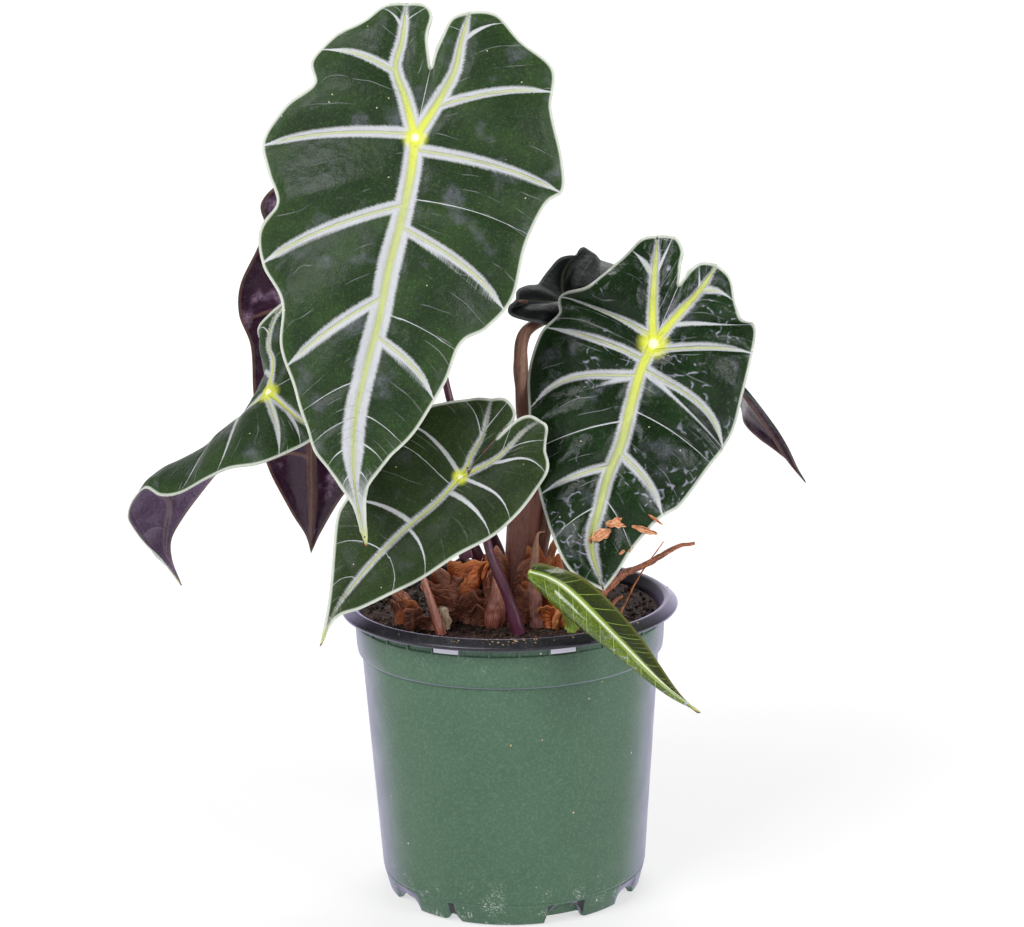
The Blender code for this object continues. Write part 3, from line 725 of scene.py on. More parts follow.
def moulded_plastic(name, colour, roughness, scuffs, sheen):
    """Moulded plastic: a fine matt grain, dust low down and small specks of potting mix."""
    material, node, link = new_material(name, Specular_Tint=(0.88, 0.86, 1.0, 1.0))
    place = node("place")
    z = node("split", place).node.outputs["Z"]
    # slow tint over about 30 mm, so the wall isn't one flat green
    colour = tinted(colour)
    tint = node(
        "blend", node("ramp", node("noise", place, spaced(30.0), 3.0), 0.3, 0.7), tinted(colour, 0.95),
        tinted(colour, 1.05)
    )
    # a fine light grain of 0.5 mm points
    grain = node("times", node("ramp", node("noise", place, spaced(1.1), 4.0), 0.42, 0.72), 0.45)
    tint = node("blend", grain, tint, tinted(colour, 1.7, 0.02))
    # pale scuffs: dried water marks near the foot and below the rim
    low = node("ramp", z, 0.003, 0.026, 0.8, 0.0)
    high = node("times", node("ramp", z, 0.108, 0.126), 0.14)
    where = node("times", node("larger", low, high), scuffs)
    mark = node(
        "times", node("ramp", node("noise", place, spaced(7.0), 3.0), 0.52, 0.64, 0.0, 0.8),
        node("ramp", node("noise", place, spaced(0.9), 4.0), 0.50, 0.62)
    )
    tint = node("blend", node("times", where, mark), tint, (0.52, 0.55, 0.50, 1.0))
    # crumbs of mix and sand, 0.5 to 1 mm, thicker near the foot
    bits = node("cells", place, 150.0)
    crumb = node("ramp", bits, 0.05, 0.09, 1.0, 0.0)
    shade = node("split", bits.node.outputs["Color"]).node
    chosen = node(
        "times", crumb,
        node(
            "larger", node("ramp", shade.outputs["X"], 0.86, 0.88),
            node("times", low, node("ramp", shade.outputs["X"], 0.3, 0.4))
        )
    )
    bit_colour = node("blend", shade.outputs["Y"], (0.50, 0.22, 0.08, 1.0), (0.72, 0.66, 0.52, 1.0))
    tint = node("blend", node("times", chosen, scuffs), tint, bit_colour)
    # a pale lavender sheen where the wall turns away
    facing = node("facing", 0.5)
    tint = node("blend", node("ramp", facing, 0.42, 1.0, 0.0, 0.9), tint, sheen)
    link(tint, "Base Color")
    rough = node(
        "ramp", node("noise", place, spaced(12.0), 3.0), 0.3, 0.7, roughness * 0.85, roughness * 1.15
    )
    link(node("plus", rough, node("times", where, 0.15)), "Roughness")
    # the grain of the mould, 0.5 mm, 0.03 mm deep
    link(node("bump", node("noise", place, spaced(0.6), 2.0), 0.35, 0.0001), "Normal")
    return material


def stalk_skin(name, low, high, roughness=0.38, streak=0.5, dark=0.45):
    """Fleshy stalk: lengthwise streaks of two colours under a smooth skin. The fields are cx and cy,
    mm across the stalk, along, mm from its foot, and share, from 0 at the foot to 1 at the top."""
    material, node, link = new_material(name, Roughness=roughness)
    cx, cy, along, share = (node("field", attribute_name=key) for key in ("cx", "cy", "along", "share"))
    lines = node("noise", node("xyz", cx, cy, node("times", along, 0.05)), 1.6, 4.0)
    mottle = node("noise", node("xyz", cx, cy, node("times", along, 0.5)), 0.7, 3.0)
    shade = node(
        "plus", node("times", node("ramp", lines, 0.35, 0.65), streak), node("times", share, 1.0 - streak)
    )
    tint = node("blend", shade, tinted(low), tinted(high))
    tint = node("blend", node("times", node("ramp", mottle, 0.5, 0.68), dark), tint, tinted(low, 0.35))
    link(tint, "Base Color")
    link(node("ramp", mottle, 0.3, 0.7, roughness * 0.85, roughness * 1.2), "Roughness")
    # ribs of the skin, about 0.6 mm apart
    link(node("bump", lines, 0.6, 0.0004), "Normal")
    return material


def dry_paper(name, dark, light, roughness=0.62, across=1.0, lengthwise=0.12):
    """Dead papery tissue: fibres, torn darker patches and a dull shine. Fields as for a stalk. The
    fibres run along the piece, or round it where lengthwise is the larger number."""
    material, node, link = new_material(name, Roughness=roughness)
    place = node("place")
    wrinkle = node("times", node("minus", node("noise", place, spaced(5.0), 1.0), 0.5), 5.0 * lengthwise)
    cx, cy, along, share = (node("field", attribute_name=key) for key in ("cx", "cy", "along", "share"))
    rise = node("plus", node("times", along, lengthwise), wrinkle)
    fibre = node("noise", node("xyz", node("times", cx, across), node("times", cy, across), rise), 1.9, 4.0)
    patch = node("noise", place, spaced(6.0), 4.0)
    tint = node("blend", node("ramp", fibre, 0.36, 0.64), tinted(dark), tinted(light))
    tint = node("blend", node("ramp", patch, 0.50, 0.70, 0.0, 0.6), tint, tinted(dark, 0.30))
    tint = node(
        "blend", node("ramp", node("noise", place, spaced(2.2), 3.0), 0.60, 0.72, 0.0, 0.5), tint,
        tinted(light, 1.7)
    )
    tint = node("blend", node("ramp", share, 0.82, 1.0, 0.0, 0.6), tint, tinted(light, 1.5))
    link(tint, "Base Color")
    height = node("plus", fibre, node("times", node("noise", place, spaced(1.2), 3.0), 0.7))
    link(node("bump", height, 0.8, 0.0006), "Normal")
    return material


def potting_mix(name, colour):
    """Damp peat: dark brown clods with paler fibres and a few reddish bits."""
    material, node, link = new_material(name, Roughness=0.9)
    place = node("place")
    tint = node(
        "blend", node("ramp", node("noise", place, spaced(3.5), 4.0), 0.35, 0.68), tinted(colour, 0.3),
        tinted(colour, 1.9)
    )
    tint = node(
        "blend", node("ramp", node("noise", place, spaced(1.5), 2.0), 0.60, 0.68, 0.0, 0.8), tint,
        (0.20, 0.085, 0.04, 1.0)
    )
    link(tint, "Base Color")
    link(node("bump", node("noise", place, spaced(1.6), 5.0), 1.0, 0.0015), "Normal")
    return material


# ---------------------------------------------------------------- leaves


def blade_strip(spine, edge, counts, halves, shares, step, guide, stalk, cleft=False):
    """Points and fields of one strip of a blade, from its rib to its edge."""
    widths = np.linalg.norm(edge - spine, axis=1)
    rows = max(4, int(widths.max() / step))
    w = np.linspace(0, 1, rows)[:, None]
    points = spine[None] * (1 - w[..., None]) + edge[None] * w[..., None]
    bow = 0.0 if cleft else guide["bow"] / max(run(spine)[-1], 1.0)
    shifted = np.clip(shares[None, :] + bow * 4 * w * (1 - w), shares.min(), shares.max())
    phase = np.interp(shifted, counts[0], counts[1])
    half = np.interp(phase, np.arange(len(halves)), halves) * (1 - 0.45 * w**2)
    by_row = np.gradient(points, axis=0)
    by_column = np.gradient(points, axis=1)
    phase_row = np.gradient(phase, axis=0)
    phase_column = np.gradient(phase, axis=1)
    aa = (by_row**2).sum(-1)
    bb = (by_column**2).sum(-1)
    ab = (by_row * by_column).sum(-1)
    steep = (
        phase_row**2 * bb - 2 * phase_row * phase_column * ab + phase_column**2 * aa
    ) / np.maximum(aa * bb - ab**2, 1e-6)
    gap = np.clip(1 / np.sqrt(np.maximum(steep, 1e-6)), 0.5, 90)
    along = w * widths[None]
    flat = points.reshape(-1, 3)
    rib_mm = nearest(flat, spine).reshape(points.shape[:2])
    edge_mm = nearest(flat, edge).reshape(points.shape[:2])
    hub = np.linalg.norm(points - stalk, axis=-1)
    tip = np.linalg.norm(points - np.array(guide["midrib"][-1]), axis=-1)
    fields = {"phase": phase, "gap": gap, "half": half, "along": along}
    fields |= {"rib_mm": rib_mm, "edge": edge_mm, "hub": hub, "tip": tip}
    part = phase - np.floor(phase)
    across = np.minimum(part, 1 - part) * gap
    grown = np.clip(along / 8, 0, 1) * np.clip(edge_mm / 5, 0.15, 1)
    relief = guide["crown"] * np.sin(np.pi * w) * widths / widths.max() * (0 if cleft else 1)
    relief = relief + guide["quilt"] * np.sin(np.pi * part) ** 1.2 * grown * np.clip((gap - 4) / 14, 0, 1.2)
    relief = relief - guide["groove"] * np.exp(-((across / 1.6) ** 2)) * grown * np.clip(half / 2, 0, 1)
    relief = relief - guide["groove"] * 1.2 * np.exp(-((rib_mm / 2.2) ** 2)) * np.clip(hub / 12, 0, 1)
    relief = relief + guide["ruffle"] * w**3 * np.sin(phase * 4.4 + 1.0) * np.clip(
        edge_mm.max(0) / 15, 0, 1
    )
    fields["relief"] = relief
    return points, fields


def nearest(points, path):
    """Distance of each point from a path."""
    best = np.full(len(points), 1e9)
    for a in path[:: max(1, len(path) // 160)]:
        best = np.minimum(best, ((points - a) ** 2).sum(-1))
    return np.sqrt(best)


def grow_leaf(name, guide, settings, materials, nodes):
    """A leaf blade: side strips and cleft strips, joined, pushed into relief and given a thickness."""
    step = settings.mesh_step / MM
    midrib = dense(guide["midrib"])
    mid_run = run(midrib)[-1]
    stalk = midrib[0]
    fine = np.linspace(0, 1, 500)
    halves = []
    for side in (0, 1):
        rib = dense(guide["ribs"][side])[::-1]
        split = run(rib)[-1] / (run(rib)[-1] + mid_run)
        veins = guide["veins"][side]
        knots = [0.0] + [vein[0] for vein in veins] + [1.0]
        edges = [0.0] + [vein[1] for vein in veins] + [1.0]
        widths = [veins[0][2]] + [vein[2] for vein in veins] + [veins[-1][2] * 0.5]
        outer = dense(guide["outer"][side])
        inner = dense(guide["inner"][side])
        clefts = guide["cleft_veins"][side]
        halves.append((rib, split, knots, edges, widths, outer, inner, clefts))
    mid_paths = [at(midrib, fine)]
    for _, split, knots, edges, _, outer, _, _ in halves:
        mid_paths.append(at(outer, np.interp(split + (1 - split) * fine, knots, edges)))
    mid_shares = even_shares(mid_paths, step)
    strips = []
    for side, (rib, split, knots, edges, widths, outer, inner, clefts) in enumerate(halves):
        cleft_knots = [0.0] + [1 - vein[0] for vein in clefts] + [1.0]
        cleft_edges = [0.0] + [1 - vein[1] for vein in clefts] + [1.0]
        cleft_widths = [0.5] + [vein[2] for vein in clefts] + [0.2]
        rib_edge = np.interp(fine * split, knots, edges)
        cleft_edge = np.interp(fine, cleft_knots, cleft_edges)
        rib_shares = even_shares([at(rib, fine), at(outer, rib_edge), at(inner, cleft_edge)], step)
        spine = np.vstack([at(rib, rib_shares), at(midrib, mid_shares)[1:]])
        shares = np.concatenate([rib_shares * split, split + (1 - split) * mid_shares[1:]])
        edge = at(outer, np.interp(shares, knots, edges))
        counts = (knots, np.arange(len(knots)))
        points, fields = blade_strip(spine, edge, counts, widths, shares, step, guide, stalk)
        bands = guide["rib_half"]
        rib_half = np.interp(
            shares, [0, split, split + 0.3 * (1 - split), split + 0.75 * (1 - split), 1], bands
        )
        fields["rib"] = fields["rib_mm"] / rib_half[None]
        strips.append(grid_piece(f"{name}_side_{side}", points, fields, turned=side == 0))
        points, fields = blade_strip(
            at(rib, rib_shares),
            at(inner, np.interp(rib_shares, cleft_knots, cleft_edges)),
            (cleft_knots, np.arange(len(cleft_knots)) + 40),
            np.concatenate([np.zeros(40), cleft_widths]),
            rib_shares,
            step,
            guide,
            stalk,
            cleft=True,
        )
        fields["rib"] = fields["rib_mm"] / np.interp(rib_shares, [0, 1], bands[:2])[None]
        strips.append(grid_piece(f"{name}_cleft_{side}", points, fields, turned=side == 1))
    piece = join(strips, name)
    inside = np.clip(field(piece, "edge") / 4, guide.get("loose", 1.0), 1)
    push(piece, field(piece, "relief") * inside * MM)
    rib_near = np.exp(-((field(piece, "rib_mm") / 1.4) ** 2)) * np.exp(-field(piece, "hub") / 90)
    part = field(piece, "phase") % 1
    across = np.minimum(part, 1 - part) * field(piece, "gap")
    side_near = 0.35 * np.exp(-((across / 1.1) ** 2))
    side_near *= np.clip(field(piece, "half") / 2.5, 0, 1)
    side_near *= np.clip(field(piece, "edge") / 12, 0, 1)
    thick = piece.vertex_groups.new(name="thick")
    weights = np.clip(np.maximum(rib_near, side_near), 0, 1) * np.clip(field(piece, "edge") / 5 - 0.1, 0, 1)
    weights = weights * guide.get("stout", 1.0)
    for i, weight in enumerate(weights):
        thick.add([i], float(weight), "REPLACE")
    piece.data.materials.append(materials[0])
    piece.data.materials.append(materials[1])
    apply_modifier(
        piece,
        "SOLIDIFY",
        thickness=settings.rib,
        offset=-1.0,
        vertex_group="thick",
        thickness_vertex_group=settings.blade / settings.rib,
        material_offset=1,
        material_offset_rim=0,
    )
    piece.vertex_groups.clear()
    settle(piece, nodes, 80)
    return piece


class ALOCASIA_OT_leaves(bpy.types.Operator):
    """Models the six grown leaves, each as one veined blade"""

    bl_idname = "alocasia.leaves"
    bl_label = "Grown leaves"

    def execute(self, context):
        s = context.scene.alocasia_leaf
        tops = (s.top, s.top_light, s.band, s.line, s.hub, s.edge)
        unders = (s.under, s.under, s.under_vein, s.under_vein, s.under_vein, s.under_vein)
        satin = leaf_face(
            "Leaf cuticle, satin", tops, 0.42, 0.0, 0.8, 0.6, swell=0.9, gloss=0.22, reach=30.0,
            joint=4.4, painted_sheen=0.26, frost=34.0,
        )
        deep = (rgb("#13230f"), rgb("#23401a"), s.band, s.line, s.hub, s.edge)
        matt_green = (rgb("#202f14"), rgb("#34491c"), s.band, s.line, s.hub, s.edge)
        matt = leaf_face(
            "Leaf cuticle, matt", matt_green, 0.52, 0.0, 0.8, 0.6, swell=0.5, gloss=0.2, net=0.12,
            painted_sheen=0.12, frost=13.0
        )
        waxy = leaf_face(
            "Leaf cuticle, waxy gloss", deep, 0.24, 0.06, 1.0, 0.8, swell=2.2, gloss=0.16, reach=52.0,
            joint=5.6, middle=0.5, painted_sheen=0.22, curls=0.6,
        )
        # painted shade: the two rear leaves get a copy of the leaf colours darkened to near black, vein
        # bands and lines too, for the shade behind the front leaves
        painted_shade_colours = (
            rgb("#0e1211"), rgb("#161c1a"), rgb("#2c3331"), rgb("#454e38"), rgb("#4c5633"), rgb("#484e4d")
        )
        shaded_satin = leaf_face("Leaf cuticle, satin darkened as painted shade", painted_shade_colours, 0.48, 0.0, 0.8, 0.6, swell=0.6, gloss=0.1)
        under = leaf_face(
            "Leaf underside, purple satin", unders, 0.28, 0.1, 0.8, 0.8, swell=1.8, under=True,
            gloss=0.4, net=0.6, painted_sheen=0.95,
        )
        # painted sheen: the left leaf's underside gets a paler mauve copy of the purple underside, for the
        # lavender sheen of the lights on it
        mauve = (
            rgb("#735c7a"), rgb("#7b6682"), rgb("#8a7684"), rgb("#8a7678"), rgb("#8a7678"), rgb("#8a7678")
        )
        sheen_lit_underside = leaf_face(
            "Leaf underside, mauve lightened as painted sheen", mauve, 0.34, 0.0, 0.8, 0.8, swell=1.4, under=True, gloss=0.3,
            net=0.5, painted_sheen=0.2,
        )
        slots = {
            "right_leaf": ("leaf_glossy", waxy), "front_leaf": ("leaf_top", satin),
            "low_leaf": ("leaf_top", matt)
        }
        slots["rear_right_leaf"] = slots["rear_left_leaf"] = ("leaf_purple_back", shaded_satin)
        for name, guide in LEAVES.items():
            slot, top = slots.get(name, ("leaf_purple_back", satin))
            faces = (top, sheen_lit_underside if name == "left_leaf" else under)
            grow_leaf(name + "_blade", guide, s, faces, [name])
        return {"FINISHED"}


# ---------------------------------------------------------------- pot and soil

# mm: radius of the rim, height, radius of the foot, wall and height of the floor inside
RIM, TOP, FOOT, WALL, FLOOR = 76.0, 134.2, 57.6, 1.3, 5.0
# each notch: direction of its middle in degrees, half width and height in mm
DRAIN_NOTCHES = (
    (-118, 3, 3), (-146, 9, 5), (-68, 9, 8), (-31, 8, 5), (20, 9, 6), (75, 9, 8), (125, 9, 6), (170, 9, 5)
)
SOIL_TOP = 126.0
NECK_RIBS, SOIL_CRUMBS, RIM_CRUMBS = 34, 1300, 70


def notch_height(angle):
    """How far the foot is cut up at this angle, for the drain notches, in mm."""
    height = 0.0
    for middle, half_width, rise in DRAIN_NOTCHES:
        away = abs((angle - math.radians(middle) + math.pi) % (2 * math.pi) - math.pi)
        across = away * FOOT / half_width
        if across < 1:
            height = max(height, rise * math.sqrt(1 - across**2))
    return height


def rounded(profile, radius):
    """The profile with each corner replaced by a small arc of four points."""
    points = [np.array(point, float) for point in profile]
    made = [points[0]]
    for before, corner, after in zip(points, points[1:], points[2:]):
        a, b = before - corner, after - corner
        cut = min(radius, 0.45 * np.linalg.norm(a), 0.45 * np.linalg.norm(b))
        start, end = corner + a / np.linalg.norm(a) * cut, corner + b / np.linalg.norm(b) * cut
        for t in (0.0, 0.33, 0.67, 1.0):
            made.append(start * (1 - t) ** 2 + corner * 2 * t * (1 - t) + end * t**2)
    return made + [points[-1]]


def turned(name, profile, sides):
    """A turned solid: a circle extruded and resized ring by ring, closed on the axis at both ends."""
    deselect()
    radius, height = profile[0]
    bpy.ops.mesh.primitive_circle_add(
        vertices=sides, radius=radius * MM, fill_type="TRIFAN", location=(0, 0, height * MM)
    )
    piece = named(bpy.context.object, name)
    bpy.ops.object.transform_apply(location=True)
    bpy.ops.object.mode_set(mode="EDIT")
    bpy.ops.mesh.select_all(action="SELECT")
    bpy.ops.mesh.region_to_loop()
    for (radius, height), (wider, higher) in zip(profile, profile[1:]):
        bpy.ops.mesh.extrude_region_move(TRANSFORM_OT_translate={"value": (0, 0, (higher - height) * MM)})
        scale = wider / radius
        bpy.ops.transform.resize(value=(scale, scale, 1), center_override=(0, 0, higher * MM))
    bpy.ops.mesh.merge(type="CENTER")
    bpy.ops.mesh.select_all(action="SELECT")
    bpy.ops.mesh.normals_make_consistent(inside=False)
    bpy.ops.object.mode_set(mode="OBJECT")
    return piece


def set_materials(piece, materials, choose):
    """Gives the piece these materials and each face the one that choose(x, y, z) names, in mm."""
    for material in materials:
        piece.data.materials.append(material)
    for polygon in piece.data.polygons:
        x, y, z = polygon.center
        polygon.material_index = choose(x / MM, y / MM, z / MM)


class ALOCASIA_OT_pot(bpy.types.Operator):
    """Models the nursery pot: ringed body, notched foot, ribbed neck and black rim"""

    bl_idname = "alocasia.pot"
    bl_label = "Pot"

    def execute(self, context):
        s = context.scene.alocasia_pot
        outside = [
            (1, 0), (30, 0), (31.5, 2.5), (FOOT - 3.2, 2.5), (FOOT - 2.6, 0), (FOOT, 0), (FOOT + 2.45, 9.2),
            (FOOT + 2.15, 9.7), (FOOT + 2.7, 10.4), (RIM - 9, TOP - 24.2), (RIM - 9.1, TOP - 23.6),
            (RIM - 7.2, TOP - 22.6), (RIM - 6.7, TOP - 19.2), (RIM - 6.2, TOP - 8.9),
            (RIM - 6.9, TOP - 8.5), (RIM - 6.9, TOP - 4.9),
            (RIM - 0.6, TOP - 4.7), (RIM, TOP - 3.2), (RIM - 2.1, TOP - 1.6), (RIM - 4.4, TOP),
        ]
        inside = [
            (RIM - 6.3, TOP - 0.8), (RIM - 6.9 - WALL, TOP - 5), (RIM - 9 - WALL, TOP - 24.2),
            (FOOT + 2.7 - WALL, FLOOR + 7), (FOOT - 3, FLOOR + 6.5), (FOOT - 4.5, FLOOR), (1, FLOOR),
        ]
        body = turned("pot_shell", rounded(outside + inside, 0.7), s.sides)
        points = points_of(body)
        distance = np.hypot(points[:, 0], points[:, 1]) / MM
        for i in np.nonzero((distance > FOOT - 3.1) & (distance < FOOT + 1.2) & (points[:, 2] < 3 * MM))[0]:
            lift = notch_height(math.atan2(points[i, 1], points[i, 0])) * MM
            points[i, 2] = max(points[i, 2], lift) if points[i, 2] > 1 * MM else points[i, 2] + lift
        body.data.vertices.foreach_set("co", points.reshape(-1))
        body.data.update()
        green = moulded_plastic(
            "Moulded green plastic, matt", s.plastic, 0.42, 1.0, (0.33, 0.31, 0.47, 1.0)
        )
        black = moulded_plastic("Moulded black plastic, satin", s.rim, 0.30, 0.45, (0.38, 0.32, 0.58, 1.0))

        def is_black(x, y, z):
            """The rim and the inside of the pot."""
            wall = 59.6 + (z - 12) * 0.0684 if z < 110 else 66.3 + (z - 110) * 0.1
            return int(z > 129.25 or (z > 6 and math.hypot(x, y) < wall))

        set_materials(body, (green, black), is_black)
        settle(body, ["pot"], 40)
        deselect()
        bpy.ops.mesh.primitive_cube_add(
            size=1, location=((RIM - 6.6) * MM, 0, (TOP - 6.9) * MM), scale=(1.2 * MM, 0.8 * MM, 4.0 * MM)
        )
        first = bpy.context.object
        bpy.ops.object.transform_apply(location=True, rotation=True, scale=True)
        apply_modifier(first, "BEVEL", width=0.25 * MM, segments=2)
        first.data.transform(Matrix.Rotation(math.radians(-2.1), 4, "Z"))
        ribs = copies(first, NECK_RIBS)
        for k, rib in enumerate(ribs):
            rib.data.transform(Matrix.Rotation(2 * math.pi * k / NECK_RIBS, 4, "Z"))
        neck = join(ribs, "pot_neck_ribs", weld=0)
        neck.data.materials.append(green)
        settle(neck, angle=40)
        # painted highlights: two pale patches on the neck, where its flat cells reflect the lights
        pale, _, _ = new_material(
            "Pale patches painted as neck highlights", Roughness=0.25, Base_Color=(0.72, 0.70, 0.82, 1.0)
        )
        slots = []
        for x0, x1 in ((-32.6, -22.0), (17.2, 28.0)):
            x = np.linspace(x0, x1, 14)
            turn = np.arcsin(x / 69.8)
            rows = [
                np.stack([69.5 * np.sin(turn), -69.5 * np.cos(turn), np.full(14, z)], axis=1)
                for z in (126.0, 127.7, 129.4)
            ]
            slots.append(grid_piece("slot", rows))
        highlight_patches = join(slots, "pot_neck_highlight_patches", weld=0)
        apply_modifier(highlight_patches, "SOLIDIFY", thickness=0.25 * MM, offset=1.0)
        highlight_patches.data.materials.append(pale)
        settle(highlight_patches, angle=40)
        return {"FINISHED"}


class ALOCASIA_OT_soil(bpy.types.Operator):
    """Models the potting mix: a clodded plug with loose crumbs and fibres on top"""

    bl_idname = "alocasia.soil"
    bl_label = "Soil"

    def execute(self, context):
        s = context.scene.alocasia_pot
        side = [(1, 5.4), (52.6, 5.4), (54.0, 11.6), (58.4, 12.6), (65.2, 109.5), (66.9, SOIL_TOP + 2.0)]
        top = [(66.9 - 1.3 * k, SOIL_TOP + 2.6 * max(0.0, 1 - k / 10) ** 0.7) for k in range(1, 51)]
        plug = turned("soil_plug", side + top + [(1.0, SOIL_TOP)], 220)
        points = points_of(plug) / MM
        for i in np.nonzero(points[:, 2] > SOIL_TOP - 2)[0]:
            x, y, z = points[i]
            inner = min(1.0, max(0.0, (66.5 - math.hypot(x, y)) / 3))
            bumps = noise.noise((x / 6, y / 6, 3)) * 1.4
            bumps += noise.noise((x / 2.2, y / 2.2, 8)) * 0.8
            bumps += noise.noise((x / 0.9, y / 0.9, 1)) * 0.35
            points[i, 2] = z - 0.3 + bumps * inner
        plug.data.vertices.foreach_set("co", (points * MM).reshape(-1))
        plug.data.update()
        mix = potting_mix("Damp potting mix", s.soil)
        plug.data.materials.append(mix)
        settle(plug, ["soil"], 70)

        # loose crumbs and fibres
        rng = np.random.default_rng(4)
        deselect()
        bpy.ops.mesh.primitive_ico_sphere_add(subdivisions=1, radius=1)
        first = bpy.context.object
        apply_modifier(first, "SUBSURF", levels=1, render_levels=1, subdivision_type="SIMPLE")
        shape = points_of(first)
        crumbs = copies(first, SOIL_CRUMBS)
        for k, crumb in enumerate(crumbs):
            far = 65 * math.sqrt(rng.uniform(0, 1))
            angle = rng.uniform(0, 2 * math.pi)
            size = rng.choice([0.5, 0.8, 1.2, 1.9], p=[0.35, 0.35, 0.22, 0.08]) * rng.uniform(0.7, 1.2)
            stretch = (1, 1, 1) if k % 5 else (rng.uniform(3, 6) / size * 0.5, 0.35, 0.35)
            rough = shape * rng.uniform(0.7, 1.25, (len(shape), 1)) * stretch * size
            spin = Matrix.Rotation(rng.uniform(0, 6.28), 3, "Z")
            turn = np.array(spin @ Matrix.Rotation(rng.uniform(-0.5, 0.5), 3, "Y"))
            rise = 2.6 * max(0.0, 1 - (66.9 - far) / 13) ** 0.7
            place = (far * math.cos(angle), far * math.sin(angle), SOIL_TOP + rise + rng.uniform(-0.2, 0.6))
            crumb.data.vertices.foreach_set("co", ((rough @ turn.T + place) * MM).reshape(-1))
        loose = join(crumbs, "soil_crumbs", weld=0)
        loose.data.materials.append(mix)
        settle(loose, angle=30)
        return {"FINISHED"}


# ---------------------------------------------------------------- stalks, rhizome and scales

# each stem: guide points in mm, a radius at each of them and the slot
STEMS = {
    "front_leaf_petiole": (
        [(4, -35, 126.3), (3, -35, 130), (0, -34, 141), (-9, -33, 166), (-13, -26, 195), (-25, -15, 230),
        (-33, -8, 290), (-36, -14, 330), (-36, -23.6, 340.6)],
        (3.4, 3.2, 2.4, 1.9, 1.7, 1.6, 1.5, 1.5, 1.3),
        "petiole",
    ),
    "low_leaf_petiole": (
        [(-19, -14, 155.6), (-20, -15, 166), (-21, -20, 184), (-20, -30, 194.5), (-19.8, -36.4, 196.5)],
        (3, 2.4, 1.8, 1.6, 1.3),
        "petiole",
    ),
    "right_leaf_petiole": (
        [(13, -14, 126.3), (13, -14, 132), (15, -11, 160), (28, -4, 205), (52, 4, 240), (63, 0, 247),
        (64.6, -8.6, 248.7)],
        (4.2, 4, 3, 2.2, 1.8, 1.6, 1.3),
        "petiole_tan",
    ),
    "left_leaf_petiole": (
        [(-10, 3, 126.3), (-10, 3, 132), (-18, 5, 160), (-52, 6, 205), (-88, 4, 222), (-101, -1, 223),
        (-104.4, -3.2, 227.9)],
        (3.6, 3.4, 2.6, 1.9, 1.6, 1.4, 1.2),
        "petiole",
    ),
    "rear_left_leaf_petiole": (
        [(-1, 9, 126.3), (-1, 9, 132), (-8, 12, 160), (-38, 20, 215), (-66, 26, 252), (-78, 33, 261),
        (-80.7, 40.6, 262)],
        (3.6, 3.4, 2.6, 1.9, 1.6, 1.5, 1.3),
        "petiole",
    ),
    "rear_right_leaf_petiole": (
        [(12, 1, 126.3), (12, 1, 132), (10, 0, 165), (8, -1, 217), (7, 1, 240), (9, 7, 252),
        (18, 17, 256.5), (26, 25, 258), (28.7, 26, 261.1)],
        (4, 4, 3.6, 3.4, 3.2, 2.8, 2.2, 1.8, 1.4),
        "petiole_tan",
    ),
    "new_leaf_petiole": (
        [(27, -33, 126.3), (27, -34, 131), (22, -41, 145), (14, -50, 155), (9.5, -56.5, 158.6)],
        (3.2, 3, 2.6, 2.2, 1.6),
        "petiole_green",
    ),
    "cataphyll": (
        [(12, -26, 126.3), (12, -26, 131), (11, -27, 146), (12, -28, 163), (13, -28, 169), (16, -28, 170)],
        (3, 3, 2.6, 1.6, 0.6, 0.3),
        "sheath",
    ),
    "offset_bulb": (
        [(-7, -24, 126.3), (-7, -24, 129), (-6, -24, 134), (-6, -24, 141), (-6, -24, 152)],
        (3.6, 4.6, 4.8, 2.6, 0.4),
        "rhizome",
    ),
    "old_stub": (
        [(-40, -20, 126.3), (-41, -20, 130), (-46, -20, 137), (-51, -20, 143)],
        (2.6, 3.2, 3, 2.2),
        "dry_stem",
    ),
    "pink_stem": (
        [(-30, -35, 126.3), (-31, -35, 130), (-34, -33, 140), (-37, -31, 150)],
        (2.4, 2.4, 1.9, 1.2),
        "petiole_tan",
    ),
    "pale_chunk": (
        [(-29, -26, 126.3), (-29, -26, 129), (-29.5, -26, 135)],
        (3, 3.4, 2.4),
        "pale_bark",
    ),
    "orange_scale": (
        [(20, -20, 126.3), (19, -20, 134), (17, -21, 150), (20, -22, 162), (22, -22, 169)],
        (2.4, 2.2, 2, 1.6, 0.4),
        "papery_scale",
    ),
    "pink_scale": (
        [(20, -29, 126.3), (21, -29, 132), (24, -28, 139)],
        (1.6, 1.8, 0.5),
        "papery_scale",
    ),
    "dried_stem": (
        [(32, -16, 126.3), (33, -16, 129), (38, -15, 134), (50, -8, 144), (63, -4, 149), (75, -4, 156),
        (83, -6, 158)],
        (2, 2, 1.9, 1.7, 1.3, 1, 0.7),
        "dry_stem",
    ),
    "long_root": (
        [(49, -16, 127.2), (50, -15, 130), (58, -12, 145), (69, -10, 160)],
        (0.5, 0.45, 0.35, 0.25),
        "papery_scale",
    ),
    "short_root": (
        [(43, -22, 126.6), (44, -21, 131), (47, -20, 136), (50, -20, 138)],
        (1.1, 1, 0.8, 0.5),
        "dry_stem",
    ),
}


def frames(path, side=(1.0, 0.0, 0.0)):
    """Two directions across the path at each of its points, turning as little as possible."""
    ahead = np.gradient(path, axis=0)
    ahead /= np.linalg.norm(ahead, axis=1)[:, None]
    side = np.array(side)
    sides = []
    for direction in ahead:
        side = side - direction * side.dot(direction)
        side = side / np.linalg.norm(side)
        sides.append(side)
    sides = np.array(sides)
    return sides, np.cross(ahead, sides)


